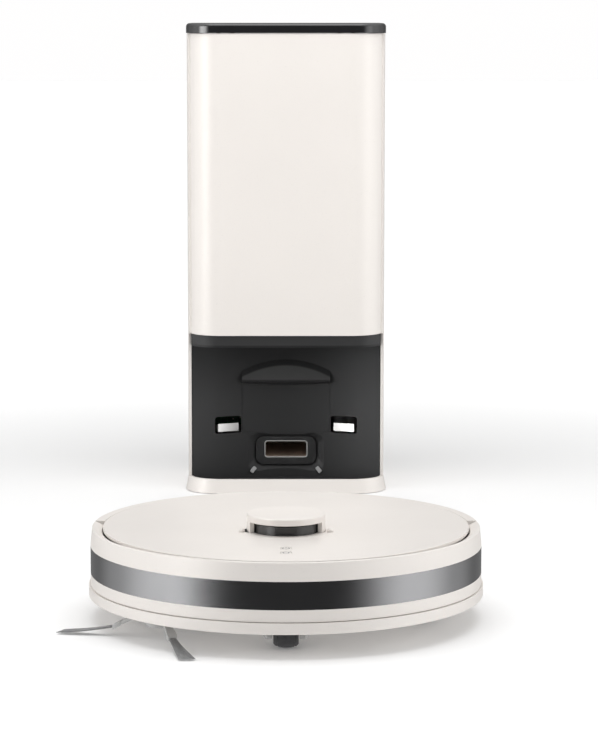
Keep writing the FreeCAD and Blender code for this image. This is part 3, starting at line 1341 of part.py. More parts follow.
def main_brush():
    """Roller with long blades and an end pin each side."""
    x = (-MAIN_BRUSH_HALF, MAIN_BRUSH_HALF)
    core = cyl_x(MAIN_BRUSH_CORE_R, x, 0, 0)
    pins = cyl_x(SHAFT_R, (x[0] - 5, x[1] + 5), 0, 0)
    fins = []
    for index in range(MAIN_BRUSH_FINS):
        fin = box((x[0] + 2, x[1] - 2), (-1.3, 1.3), (MAIN_BRUSH_CORE_R - 1, MAIN_BRUSH_R - 0.1))
        fin.rotate(V(0, 0, 0), V(1, 0, 0), 360 / MAIN_BRUSH_FINS * (index + 0.5))
        fins.append(fin)
    roller = join([core, pins] + fins)
    roller.translate(V(0, MAIN_BRUSH_Y, MAIN_BRUSH_Z))
    return roller


def brush_guard():
    """Removable frame round the main brush's mouth."""
    x = MOUTH_HALF_X + GUARD_BORDER
    y = (MAIN_BRUSH_Y - MOUTH_HALF_Y - GUARD_BORDER, MAIN_BRUSH_Y + MOUTH_HALF_Y + GUARD_BORDER)
    z = (FLANGE_BOTTOM - GUARD_HEIGHT, FLANGE_BOTTOM)
    frame = rounded_block(x, y, 5.0, 5.0, z)
    frame = frame.makeChamfer(1.5, top_edges(frame, z[0]))
    mouth = box(
        (-MOUTH_HALF_X, MOUTH_HALF_X),
        (MAIN_BRUSH_Y - MOUTH_HALF_Y, MAIN_BRUSH_Y + MOUTH_HALF_Y),
        (0, FLANGE_BOTTOM + 1),
    )
    return frame.cut(mouth)


def bin_round(r, z):
    """The dust bin's plan shape: a block with the robot's round rear."""
    block = box((-BIN_HALF_WIDTH, BIN_HALF_WIDTH), (BIN_FRONT, 400), z)
    return block.common(cyl(r, (z[0] - 1, z[1] + 1)))


def bin_filter_block(grow):
    """The space of the filter in the bin's side wall."""
    return box(
        (BIN_HALF_WIDTH - 6 - grow, BIN_HALF_WIDTH),
        (98 - grow, 138 + grow),
        (BIN_BOTTOM + 5 - grow, BIN_TOP - 6 + grow),
    )


def latch_block(grow, y):
    """The space of the bin's release button."""
    z = (LATCH_BOTTOM - grow, LATCH_BOTTOM + LATCH_HEIGHT + grow)
    return slot_block(LATCH_HALF_WIDTH + grow, z, 3.0 + grow, y)


def dustbin():
    """Dark bin with its inlet in front, outlet behind, filter opening and button pocket."""
    z = (BIN_BOTTOM, BIN_TOP)
    body = bin_round(BIN_REAR_R, z)
    hollow = box(
        (-BIN_HALF_WIDTH + BIN_WALL, BIN_HALF_WIDTH - BIN_WALL),
        (BIN_FRONT + BIN_WALL, 400),
        (z[0] + BIN_WALL, z[1] - BIN_WALL),
    ).common(cyl(BIN_REAR_R - BIN_WALL - 5.0, (0, 100)))
    inlet = box((-34, 34), (BIN_FRONT - 1, BIN_FRONT + 5), (BIN_BOTTOM + 4, 50))
    outlet = slot_block(PORT_HALF_WIDTH, (OUTLET_BOTTOM, PORT_TOP), PORT_CORNER_R, (150, 200))
    pocket = latch_block(0.3, (BIN_REAR_R - 2 - LATCH_DEPTH - LATCH_TRAVEL, 200))
    return less(body, hollow, inlet, outlet, pocket, bin_filter_block(FIT))


def bin_latch():
    """Release button in the bin's rear face."""
    button = latch_block(0, (BIN_REAR_R - LATCH_DEPTH - 1.0, 200))
    return button.common(cyl(BIN_REAR_R + 0.2, (0, 100)))


def outlet_door_y():
    """Front and rear faces of the outlet flap, just inside the bin's rear wall."""
    inner = BIN_REAR_R - BIN_WALL - 5.0
    front = inner - 3.0 - OUTLET_DOOR
    return front, front + OUTLET_DOOR


def bin_outlet_door():
    """Flap inside the bin that covers the outlet."""
    y = outlet_door_y()
    z = (BIN_BOTTOM + BIN_WALL + 0.4, PORT_TOP + 2.5)
    flap = slot_block(PORT_HALF_WIDTH + 2.5, z, 2.0, y)
    rod = cyl_x(1.2, (-PORT_HALF_WIDTH - 4, PORT_HALF_WIDTH + 4), y[1] - 1.2, z[1])
    return join([flap, rod])


def bin_filter():
    """Pleated filter in the bin's side."""
    block = bin_filter_block(0)
    slots = []
    for index in range(9):
        y = 100.5 + index * 4.0
        slot_z = (BIN_BOTTOM + 8, BIN_TOP - 9)
        slots.append(box((BIN_HALF_WIDTH - 4, BIN_HALF_WIDTH + 1), (y, y + 2.0), slot_z))
    return less(block, *slots)


def robot_fan_housing():
    """The robot's fan chamber, with an intake towards the bin."""
    z = (BIN_BOTTOM, ROBOT_FAN_TOP)
    x, y = ROBOT_FAN_X, ROBOT_FAN_Y
    shell = cyl(ROBOT_FAN_R, z, x, y)
    intake = box((BIN_HALF_WIDTH + 1.2, x), (y - 12, y + 12), (BIN_BOTTOM + 6, z[1] - 4))
    inside = cyl(ROBOT_FAN_R - 2, (z[0] + 2, z[1] - 2), x, y)
    passage = box((BIN_HALF_WIDTH, x), (y - 10, y + 10), (BIN_BOTTOM + 8, z[1] - 6))
    boss = cyl(6.0, (z[0], z[0] + 7), x, y)
    bore = cyl(SHAFT_R + RUNNING, (z[0] + 1, z[0] + 10), x, y)
    return less(join([less(join([shell, intake]), inside, passage), boss]), bore)


def robot_fan_impeller():
    """The robot's suction impeller."""
    low = BIN_BOTTOM + 9
    return impeller(ROBOT_IMPELLER_R, (low, low + 14), BIN_BOTTOM + 2, ROBOT_FAN_X, ROBOT_FAN_Y)


# ---------------------------------------------------------------- write every piece
def write(name, shape, robot=False):
    """Save one node, moving robot pieces to where the robot stands."""
    if robot:
        shape = shape.copy()
        shape.translate(V(0, ROBOT_Y, 0))
    shape.exportStep(f"parts/{name}.step")


def dock_nodes():
    """Every dock piece by name."""
    return {
        "dock_plinth": dock_plinth(),
        "dock_feet": dock_feet(),
        "dock_rear_shell": dock_rear_shell(),
        "dock_front_cover": dock_front_cover(),
        "dock_recess_panel": dock_recess_panel(),
        "dust_port_seal": dust_port_seal(),
        "dust_duct": dust_duct(),
        "bag_chamber": bag_chamber(),
        "bag_collar": bag_collar(),
        "dust_bag": dust_bag(),
        "dock_prefilter": dock_prefilter(),
        "dock_fan_housing": dock_fan_housing(),
        "dock_fan_impeller": dock_fan_impeller(),
        "dock_fan_motor": dock_fan_motor(),
        "dock_circuit_board": dock_circuit_board(),
        "power_inlet": power_inlet(),
        "exhaust_grille": exhaust_grille(),
        "dock_lid": dock_lid(),
        "dock_lid_hinge_pins": dock_lid_hinge_pins(),
        "left_charge_contact": charge_contact(-1),
        "right_charge_contact": charge_contact(1),
    }


def robot_nodes():
    """Every robot piece by name."""
    return {
        "robot_base": robot_base(),
        "robot_shell": robot_shell(),
        "robot_rear_band": robot_rear_band(),
        "robot_charge_pads": robot_charge_pads(),
        "top_cover": top_cover(),
        "bumper": bumper(),
        "bumper_band": bumper_band(),
        "turret_cap": turret_cap(),
        "lidar_head": lidar_head(),
        "lidar_base": lidar_base(),
        "lidar_pulley": lidar_pulley(),
        "lidar_belt": lidar_belt(),
        "power_button": push_key(POWER_KEY_Y),
        "home_button": push_key(HOME_KEY_Y),
        "control_board": control_board(),
        "battery_pack": battery_pack(),
        "caster_holder": caster_holder(),
        "caster_wheel": caster_wheel(),
        "caster_axle": caster_axle(),
        "side_brush_hub": side_brush_hub(),
        "side_brush_bristles": side_brush_bristles(),
        "side_brush_motor": side_brush_motor(),
        "left_wheel_arm": wheel_arm(-1),
        "right_wheel_arm": wheel_arm(1),
        "left_wheel_hub": wheel_hub(-1),
        "right_wheel_hub": wheel_hub(1),
        "left_tyre": tyre(-1),
        "right_tyre": tyre(1),
        "main_brush": main_brush(),
        "brush_guard": brush_guard(),
        "dustbin": dustbin(),
        "bin_latch": bin_latch(),
        "bin_outlet_door": bin_outlet_door(),
        "bin_filter": bin_filter(),
        "robot_fan_housing": robot_fan_housing(),
        "robot_fan_impeller": robot_fan_impeller(),
        "robot_screws": robot_screws(),
        "bumper_springs": bumper_springs(),
        "cliff_sensors": cliff_sensors(),
    }


for node, shape in dock_nodes().items():
    write(node, shape)
for node, shape in robot_nodes().items():
    write(node, shape, robot=True)
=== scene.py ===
# %% [markdown]
# # A robot vacuum and the tower it docks in
# Each cell before a step says what a piece is on the real machine and how it is made here. The packed
# model brings every piece at its right size and place. We give it finishes, and remodel by hand the pieces
# that people see first, so that their edges are soft and their surfaces have the detail of the real ones.

import math
import random

import bpy
from mathutils import Matrix, Quaternion, Vector


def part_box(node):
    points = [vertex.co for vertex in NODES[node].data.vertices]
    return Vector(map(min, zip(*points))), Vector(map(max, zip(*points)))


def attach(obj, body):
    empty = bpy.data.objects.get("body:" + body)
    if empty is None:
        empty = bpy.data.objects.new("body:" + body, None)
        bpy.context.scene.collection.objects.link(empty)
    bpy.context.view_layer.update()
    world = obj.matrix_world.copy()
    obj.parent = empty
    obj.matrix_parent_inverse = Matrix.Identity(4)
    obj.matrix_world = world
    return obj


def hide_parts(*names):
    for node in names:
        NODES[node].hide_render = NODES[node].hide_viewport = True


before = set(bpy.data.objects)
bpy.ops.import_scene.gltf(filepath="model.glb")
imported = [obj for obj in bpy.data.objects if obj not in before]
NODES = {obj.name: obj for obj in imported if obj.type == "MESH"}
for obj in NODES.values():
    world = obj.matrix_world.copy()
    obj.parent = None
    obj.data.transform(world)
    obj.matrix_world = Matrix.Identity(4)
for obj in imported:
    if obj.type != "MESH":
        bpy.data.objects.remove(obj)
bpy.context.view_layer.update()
MM = 0.001
bpy.ops.object.select_all(action="DESELECT")
print("pieces in the frame:", len(NODES))


# %% [markdown]
# Positions come from the pieces themselves. The robot stands in front of the dock, so its own centre is the
# middle of its round base, and the turret, the keys and the caster are found the same way.

# %% Measure the frame
def middle(node):
    """The centre of a piece's box."""
    low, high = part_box(node)
    return (low + high) / 2


ROBOT = middle("robot_base")
ROBOT.z = 0.0
TURRET = middle("turret_cap")
DOCK_LOW, DOCK_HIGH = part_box("dock_front_cover")
DOCK_WIDTH = DOCK_HIGH.x - DOCK_LOW.x
DOCK_FRONT = DOCK_LOW.y
UP = (0.0, 0.0, 1.0)
SIDEWAYS = (1.0, 0.0, 0.0)
print("robot centre at", tuple(round(c, 3) for c in ROBOT), "dock width", round(DOCK_WIDTH, 3))


# %% [markdown]
# A product view: the camera stands a little above the machine, far away, so that lines stay nearly parallel.
# Its small shift only places the machine left of the middle of the frame.

# %% Camera
def new_object(name, data):
    """An object that is in the scene."""
    made = bpy.data.objects.new(name, data)
    bpy.context.scene.collection.objects.link(made)
    return made


camera_data = bpy.data.cameras.new("camera")
camera_data.lens = 131.4
camera_data.sensor_width = 36.0
camera_data.shift_x = 0.0172
camera_data.clip_start = 0.01
camera_data.clip_end = 60.0
camera = new_object("camera", camera_data)
camera.location = (0.0, -3.133, 0.5295)
camera.rotation_euler = (math.radians(90.0 - 7.46), 0.0, 0.0)
bpy.context.scene.camera = camera
bpy.context.scene.view_settings.view_transform = "Standard"
print("camera ready, lens", camera_data.lens)


# %% [markdown]
# Finishes are sums of patterns, so we first teach sockets to add and multiply. `Value` wraps one output of a
# node; `1 - mask` or `dust * 0.4` then adds the Math node that does it. `Finish` holds one material, and its
# `node` method makes any other node from its type, its settings and what goes into its sockets.

# %% Shader sums
class Value:
    """A number that varies over a surface."""

    def __init__(self, sheet, socket):
        self.sheet = sheet
        self.socket = socket

    def math(self, operation, first, second):
        return self.sheet.math(operation, first, second)

    def __add__(self, other):
        return self.math("ADD", self, other)

    __radd__ = __add__

    def __mul__(self, other):
        return self.math("MULTIPLY", self, other)

    __rmul__ = __mul__

    def __sub__(self, other):
        return self.math("SUBTRACT", self, other)

    def __rsub__(self, other):
        return self.math("SUBTRACT", other, self)

    def above(self, other):
        """1 where this is larger, else 0."""
        return self.math("GREATER_THAN", self, other)

    def larger(self, other):
        return self.math("MAXIMUM", self, other)


class Sheet:
    """A sheet of nodes, for a material or for the surroundings."""

    def __init__(self, owner):
        owner.use_nodes = True
        self.tree = owner.node_tree
        self.tree.nodes.clear()

    def feed(self, node, sockets):
        """Plug values or links into a node's sockets."""
        for key, value in sockets.items():
            socket = node.inputs[key]
            if isinstance(value, Value):
                self.tree.links.new(value.socket, socket)
            else:
                socket.default_value = value

    def node(self, kind, settings=None, sockets=None, out=0):
        """Any node: its type, its settings, its sockets; gives back one output."""
        made = self.tree.nodes.new(kind)
        for key, value in (settings or {}).items():
            if key == "stops":
                for index, (place, shade) in enumerate(value):
                    stops = made.color_ramp.elements
                    stop = stops[index] if index < 2 else stops.new(place)
                    stop.position = place
                    stop.color = (*shade, 1.0) if len(shade) == 3 else shade
            else:
                setattr(made, key, value)
        self.feed(made, sockets or {})
        return Value(self, made.outputs[out]) if out is not None else made

    def math(self, operation, *values):
        """One sum on one or two values."""
        return self.node("ShaderNodeMath", {"operation": operation}, dict(enumerate(values)))

    def place(self, scale=(1.0, 1.0, 1.0), turn=(0.0, 0.0, 0.0), shift=(0.0, 0.0, 0.0)):
        """Coordinates in metres on the object, centred, turned and stretched."""
        coords = self.node("ShaderNodeTexCoord", out="Object")
        return self.node(
            "ShaderNodeMapping", {}, {"Vector": coords, "Location": shift, "Rotation": turn, "Scale": scale}
        )

    def noise(self, where, scale, detail=2.0, rough=0.5):
        """Cloudy pattern between about 0.3 and 0.7."""
        sockets = {"Vector": where, "Scale": scale, "Detail": detail, "Roughness": rough}
        return self.node("ShaderNodeTexNoise", {}, sockets, out=0)

    def step(self, value, low, high, start=0.0, end=1.0):
        """A smooth change from start to end as value goes from low to high."""
        sockets = {"Value": value, "From Min": low, "From Max": high, "To Min": start, "To Max": end}
        return self.node("ShaderNodeMapRange", {"interpolation_type": "SMOOTHSTEP"}, sockets)

    def blend(self, mask, first, second):
        """Colour first where mask is 0, second where it is 1."""
        sockets = {0: mask, 6: first, 7: second}
        return self.node("ShaderNodeMix", {"data_type": "RGBA"}, sockets, out=2)


class Finish(Sheet):
    """One material: a Principled surface and the patterns that feed it."""

    def __init__(self, name, **sockets):
        self.material = bpy.data.materials.new(name)
        super().__init__(self.material)
        output = self.tree.nodes.new("ShaderNodeOutputMaterial")
        self.surface = self.tree.nodes.new("ShaderNodeBsdfPrincipled")
        self.tree.links.new(self.surface.outputs[0], output.inputs["Surface"])
        self.feed(self.surface, sockets)

    def coat(self, colour, roughness, **more):
        """Feed the surface its colour and its roughness."""
        self.feed(self.surface, {"Base Color": colour, "Roughness": roughness, **more})

    def relief(self, height, depth):
        """Bump of a given depth in metres, plugged into the surface."""
        bump = self.node("ShaderNodeBump", {}, {"Height": height, "Distance": depth})
        self.feed(self.surface, {"Normal": bump})


def shade(red, green, blue, by=1.0):
    """A colour, made lighter or darker."""
    return (red * by, green * by, blue * by, 1.0)


def grey(level):
    """An even grey."""
    return shade(level, level, level)


print("shader sums ready")


# %% [markdown]
# White plastic on a white floor needs big soft lamps. One hangs over the robot and brightens its top and the
# tower's front. Two stand at the sides and light the round corners. They are kept out of mirrors, because
# the surroundings below bring the reflections.

# %% Lamps
def softbox(name, place, aim, width, height, watts):
    """A rectangular lamp that looks at a point."""
    data = bpy.data.lights.new(name, "AREA")
    data.shape = "RECTANGLE"
    data.size = width
    data.size_y = height
    data.energy = watts
    lamp = new_object(name, data)
    lamp.location = place
    lamp.rotation_euler = (Vector(aim) - Vector(place)).to_track_quat("-Z", "Y").to_euler()
    return lamp


softbox("overhead_lamp", (0.0, -0.75, 1.8), (0.0, -0.65, 0.0), 1.7, 1.3, 20.0)
for side in (-1, 1):
    lamp = softbox("side_lamp", (side * 1.5, -0.9, 0.4), (0.0, -0.6, 0.25), 0.9, 0.9, 6.2)
    lamp.visible_glossy = False
print("lamps ready")


# %% [markdown]
# The surroundings are plain white to the eye. In mirrors they are a dark room with a broad soft light on each
# side, brightest square to the side and fading towards the front and the back: it draws the two wide lights
# on the robot's glossy band and keeps black parts black. Two narrow bright strips stand level with the lid,
# and show in its rounded corners. The floor is a pale sheet that brightens away from the machine, as a lit
# paper sweep does, and it is left out of mirrors.

# %% Floor and surroundings
world = bpy.data.worlds.new("studio")
bpy.context.scene.world = world
studio = Sheet(world)
direction = studio.node("ShaderNodeTexCoord", out="Generated")
across, depth, upward = (
    studio.node("ShaderNodeSeparateXYZ", {}, {0: direction}, out=axis) for axis in range(3)
)
front = studio.step(depth, -0.80, -0.28)
behind = studio.step(depth, -0.10, 0.48, 1.0, 0.38) * studio.step(depth, 0.48, 0.80, 1.0, 0.22)
above = studio.step(upward, 0.2, 0.95, 0.0, 0.9)
level = studio.step(upward, -0.09, -0.03) * studio.step(upward, 0.22, 0.34, 1.0, 0.0)
narrow = studio.step(depth, -0.80, -0.62) * studio.step(depth, -0.45, -0.22, 1.0, 0.0)
left_strip = studio.step(across, -0.95, -0.2, 11.0, 0.0)
right_strip = studio.step(across, 0.2, 0.95, 0.0, 2.2)
glow = front * behind * 1.9 + narrow * level * (left_strip + right_strip) + above + 0.085
mirrored = studio.node("ShaderNodeBackground", {}, {"Color": grey(1.0), "Strength": glow})
plain = studio.node("ShaderNodeBackground", {}, {"Color": shade(1.0, 0.995, 0.995), "Strength": 1.0})
room = studio.node("ShaderNodeBackground", {}, {"Color": grey(1.0), "Strength": 0.46})
is_mirror = studio.node("ShaderNodeLightPath", out="Is Glossy Ray")
is_view = studio.node("ShaderNodeLightPath", out="Is Camera Ray")
unseen = studio.node("ShaderNodeMixShader", {}, {0: is_mirror, 1: room, 2: mirrored})
shown = studio.node("ShaderNodeMixShader", {}, {0: is_view, 1: unseen, 2: plain})
studio.node("ShaderNodeOutputWorld", {}, {0: shown}, out=None)

bpy.ops.mesh.primitive_plane_add(size=40.0, location=(0.0, 0.0, 0.0))
floor = bpy.context.active_object
floor.name = "floor"
floor.visible_glossy = False
sweep = Finish("pale_floor", **{"Specular IOR Level": 0.1, "Roughness": 0.9, "Emission Strength": 0.62})
spot = sweep.place()
away = sweep.place(shift=(0.0, 0.45, 0.0))
reach = sweep.node("ShaderNodeVectorMath", {"operation": "LENGTH"}, {0: away}, out="Value")
paper = sweep.blend(sweep.noise(spot, 3.0), grey(0.88), grey(0.90))
lit = sweep.blend(sweep.step(reach, 0.55, 1.7), grey(0.17), grey(0.92))
sweep.feed(sweep.surface, {"Base Color": paper, "Emission Color": lit})
floor.data.materials.append(sweep.material)
print("floor and surroundings ready")


# %% [markdown]
# **Moulded plastic.** A new housing isn't one flat colour: the mould leaves a fine even texture, the tone
# drifts by a percent or two, and handling leaves faint smooth patches. All plastics here share that recipe
# and differ in colour, gloss and how deep the grain is.

# %% Moulded plastic
def moulded(name, tone, gloss, grain=14e-6, drift=0.03, grain_scale=1900.0, **sockets):
    """Moulded plastic: drifting tone, fine grain, handled patches."""
    finish = Finish(name, **sockets)
    where = finish.place()
    clouds = finish.noise(where, 7.0, 3.0)
    smudges = finish.noise(where, 31.0, 4.0, 0.62)
    pits = finish.noise(where, grain_scale, 2.0, 0.6)
    colour = finish.blend(finish.step(clouds, 0.3, 0.7), shade(*tone, 1.0 - drift), shade(*tone, 1.0 + drift))
    specks = finish.step(finish.noise(where, 620.0, 1.0), 0.66, 0.74)
    colour = finish.blend(specks * 0.25, colour, shade(*tone, 0.86))
    finish.coat(colour, gloss + (smudges - 0.5) * 0.16 + (pits - 0.5) * 0.05)
    finish.relief(pits + smudges * 0.35, grain)
    return finish.material


WARM_WHITE = (0.805, 0.765, 0.727)
white_shell = moulded("white_shell", WARM_WHITE, 0.36, drift=0.012)
white_inner = moulded("white_inner", (0.62, 0.61, 0.59), 0.55, 30e-6)
white_key = moulded("white_key", (0.78, 0.745, 0.71), 0.30)
light_grey = moulded("light_grey_plastic", (0.50, 0.50, 0.495), 0.42, 20e-6)
dark_inner = moulded("dark_inner_plastic", (0.045, 0.045, 0.048), 0.5, 30e-6, 0.12)
black_satin = moulded("black_satin", (0.034, 0.034, 0.0345), 0.52, 26e-6, 0.06, 1500.0)
black_gloss = moulded("black_gloss", (0.012, 0.012, 0.013), 0.13, 2e-6, 0.05)
duct_brown = moulded("duct_plastic", (0.55, 0.45, 0.38), 0.45, 30e-6, 0.10)
# Pale grey for the port's inner lip: a painted highlight on the rubber ring's inner edge.
port_edge_highlight_grey = moulded("port_edge_highlight_grey", (0.62, 0.62, 0.60), 0.22, 4e-6)
lidar_gloss = moulded("laser_window_plastic", (0.034, 0.034, 0.034), 0.22, 2e-6, 0.05)
print("plastics ready")


# %% [markdown]
# ** The recess lining** is the same satin plastic, with light and shade painted into its colour: painted shade
# makes the part under the housing deep black, the lower part that the robot meets keeps the plain tone, a
# narrow strip at the very top keeps it too, and a painted highlight makes the small visor paler. The parts are
# told apart by their height and their distance from the upright axis of the round recess.

# %% Recess lining
# The recess's upright axis and the visor's height band and reach place the painted shade and highlight.
RECESS_AXIS = 0.204
VISOR_LOW, VISOR_HIGH, VISOR_R = 0.121, 0.160, 0.1750


def recess_plastic(name):
    """Satin black, with painted shade darkening it towards the top and a painted highlight on the visor."""
    finish = Finish(name, **{"Specular IOR Level": 0.22})
    where = finish.place()
    height = finish.node("ShaderNodeSeparateXYZ", {}, {0: where}, out=2)
    from_axis = finish.place((1.0, 1.0, 0.0), shift=(0.0, RECESS_AXIS, 0.0))
    reach = finish.node("ShaderNodeVectorMath", {"operation": "LENGTH"}, {0: from_axis}, out="Value")
    pits = finish.noise(where, 1500.0, 2.0, 0.6)
    smudges = finish.noise(where, 29.0, 4.0, 0.62)
    plain_tone, painted_shade_tone, top_strip_tone = shade(0.032, 0.032, 0.0325), shade(0.012, 0.012, 0.0125), shade(0.031, 0.031, 0.0315)
    # Painted shade: from the plain tone low down to near black towards the top, where the housing shades the
    # recess; the narrow strip at the very top keeps nearly the plain tone.
    colour = finish.blend(finish.step(height, 0.090, 0.158), plain_tone, painted_shade_tone)
    colour = finish.blend(finish.step(height, 0.166, 0.168), colour, top_strip_tone)
    # Painted highlight: the visor, found by its height band and its reach from the recess axis, is painted
    # paler grey.
    painted_visor_highlight = finish.step(height, VISOR_LOW, VISOR_LOW + 0.002)
    painted_visor_highlight = painted_visor_highlight * finish.step(height, VISOR_HIGH - 0.002, VISOR_HIGH, 1.0, 0.0)
    painted_visor_highlight = painted_visor_highlight * finish.step(reach, VISOR_R - 0.0015, VISOR_R, 1.0, 0.0)
    colour = finish.blend(painted_visor_highlight, colour, grey(0.075))
    colour = finish.blend(smudges * 0.3, colour, shade(0.036, 0.036, 0.037))
    finish.coat(colour, 0.52 + (smudges - 0.5) * 0.16 + (pits - 0.5) * 0.05)
    finish.relief(pits + smudges * 0.35, 26e-6)
    return finish.material


recess_lining = recess_plastic("recess_lining")
# Pale grey for the guide ribs: a painted highlight on the funnel's lower corners.
rib_highlight_grey = moulded("rib_highlight_grey", (0.34, 0.34, 0.34), 0.28, 4e-6)
print("recess lining ready")


# %% [markdown]
# **The glossy band.** It is a smoked, metallised strip: nearly a mirror, but dark, with a soft edge to its
# reflections. Fine vertical waviness from the mould keeps the mirror from being perfect.

# %% Band finish
def metallised(name, tone, gloss):
    """Dark metallised plastic with soft reflections."""
    finish = Finish(name, **{"Metallic": 1.0, "Coat Roughness": 0.08, "Coat Weight": 0.25})
    where = finish.place()
    smudges = finish.noise(where, 26.0, 4.0, 0.6)
    scratches = finish.noise(finish.place((1.0, 1.0, 14.0)), 520.0, 2.0)
    colour = finish.blend(smudges, shade(*tone, 0.92), shade(*tone, 1.08))
    finish.coat(colour, gloss + (smudges - 0.5) * 0.08 + (scratches - 0.5) * 0.04)
    finish.relief(scratches, 1.5e-6)
    return finish.material


band_finish = metallised("smoked_band", (0.22, 0.22, 0.225), 0.24)
print("band finish ready")


# %% [markdown]
# **Metals.** The charging plates are nickel, brushed along their length; screws, pins and shafts are steel.
# Brushing is a noise stretched many times along one axis.

# %% Metals
def brushed(name, tone, gloss, along):
    """Brushed metal: streaks along one axis."""
    finish = Finish(name, **{"Metallic": 1.0})
    streaks = finish.noise(finish.place(along), 900.0, 3.0, 0.7)
    patches = finish.noise(finish.place(), 60.0, 3.0)
    colour = finish.blend(patches, shade(*tone, 0.93), shade(*tone, 1.05))
    finish.coat(colour, gloss + (streaks - 0.5) * 0.25 + (patches - 0.5) * 0.1)
    finish.relief(streaks, 5e-6)
    return finish.material


nickel = brushed("nickel", (0.86, 0.855, 0.84), 0.38, (0.05, 1.0, 1.0))
steel = brushed("steel", (0.62, 0.62, 0.63), 0.30, (1.0, 1.0, 0.08))
motor_can = brushed("motor_can", (0.48, 0.48, 0.50), 0.34, (1.0, 1.0, 0.06))
print("metals ready")


# %% [markdown]
# **Rubber.** Matt, with a powdery bloom in the hollows of its grain. The tyres are a shade greyer than the
# seal, and the main brush is a softer, slightly shiny blend.

# %% Rubbers
def rubber(name, tone, gloss, bloom):
    """Matt rubber with a pale bloom."""
    finish = Finish(name, **{"Specular IOR Level": 0.35})
    where = finish.place()
    grain = finish.noise(where, 1300.0, 3.0, 0.7)
    dust = finish.noise(where, 45.0, 4.0, 0.65)
    pale = shade(tone[0] + bloom, tone[1] + bloom, tone[2] + bloom)
    colour = finish.blend(finish.step(dust, 0.42, 0.72), shade(*tone), pale)
    finish.coat(colour, gloss + (grain - 0.5) * 0.2)
    finish.relief(grain + dust * 0.5, 35e-6)
    return finish.material


seal_rubber = rubber("seal_rubber", (0.024, 0.024, 0.0245), 0.55, 0.010)
tyre_rubber = rubber("tyre_rubber", (0.040, 0.040, 0.042), 0.74, 0.030)
roller_rubber = rubber("roller_rubber", (0.055, 0.055, 0.060), 0.50, 0.020)
foot_rubber = rubber("foot_rubber", (0.050, 0.050, 0.050), 0.80, 0.030)
print("rubbers ready")


# %% [markdown]
# **Papers.** The dust bag and filters are pressed fibres: two noises stretched across each other make the
# fibre mat, and a slow third one makes some parts thicker and darker.

# %% Papers
def fibre(name, tone, depth):
    """Pressed fibres lying both ways."""
    finish = Finish(name, **{"Specular IOR Level": 0.2, "Sheen Weight": 0.25})
    along = finish.noise(finish.place((0.15, 1.0, 1.0)), 900.0, 4.0, 0.7)
    across = finish.noise(finish.place((1.0, 1.0, 0.15)), 900.0, 4.0, 0.7)
    clouds = finish.noise(finish.place(), 22.0, 4.0, 0.6)
    mat = along.larger(across)
    colour = finish.blend(finish.step(mat, 0.4, 0.75), shade(*tone, 0.88), shade(*tone, 1.04))
    colour = finish.blend(finish.step(clouds, 0.45, 0.75) * 0.35, colour, shade(*tone, 0.8))
    finish.coat(colour, 0.86 - mat * 0.1)
    finish.relief(mat + clouds * 0.4, depth)
    return finish.material


bag_paper = fibre("bag_paper", (0.72, 0.69, 0.62), 90e-6)
filter_paper = fibre("filter_paper", (0.78, 0.78, 0.75), 60e-6)
card = fibre("collar_card", (0.46, 0.40, 0.31), 50e-6)
print("papers ready")


# %% [markdown]
# ** Circuit boards and cells.** Green solder mask shows copper tracks through it. A brick pattern gives
# runs of tracks, and a pattern of cells scatters tinned pads over them. The battery is wrapped in blue film.

# %% Electrics
def circuit(name):
    """Green board with tracks and pads."""
    finish = Finish(name, **{"Coat Weight": 0.3})
    where = finish.place()
    runs = finish.node(
        "ShaderNodeTexBrick",
        {"offset": 0.5, "squash": 1.0},
        {"Vector": where, "Scale": 120.0, "Mortar Size": 0.035, "Brick Width": 0.9, "Row Height": 0.3},
        out="Fac",
    )
    cells = {"Vector": where, "Scale": 210.0}
    dots = finish.node("ShaderNodeTexVoronoi", {"feature": "F1"}, cells, out="Distance")
    pads = 1.0 - finish.step(dots, 0.16, 0.22)
    mask = shade(0.012, 0.105, 0.045)
    colour = finish.blend(runs, mask, shade(0.03, 0.19, 0.08))
    colour = finish.blend(pads, colour, shade(0.62, 0.60, 0.55))
    finish.coat(colour, 0.42 - pads * 0.12, Metallic=pads * 0.9)
    finish.relief(runs * 0.6 + pads, 40e-6)
    return finish.material


board_green = circuit("circuit_board")
battery_wrap = moulded("battery_wrap", (0.025, 0.075, 0.24), 0.22, 12e-6, 0.08, 300.0)
print("electrics ready")


# %% [markdown]
# **Bristles.** Nylon tufts are bundles of parallel hairs: streaks along the tuft carry light and dark hairs.

# %% Bristle finish
def bristle(name, dark_tone, light_tone, scale):
    """Grey nylon hairs."""
    finish = Finish(name, **{"Specular IOR Level": 0.4})
    hairs = finish.noise(finish.place(scale), 2400.0, 2.0, 0.6)
    colour = finish.blend(finish.step(hairs, 0.35, 0.65), shade(*dark_tone), shade(*light_tone))
    finish.coat(colour, 0.45 + hairs * 0.2)
    finish.relief(hairs, 80e-6)
    return finish.material


nylon = bristle("nylon_bristle", (0.17, 0.17, 0.172), (0.36, 0.36, 0.362), (1.0, 1.0, 0.3))
print("bristle finish ready")


# %% [markdown]
# Every piece of the frame now gets its finish. A piece that is remodelled later passes its own on.

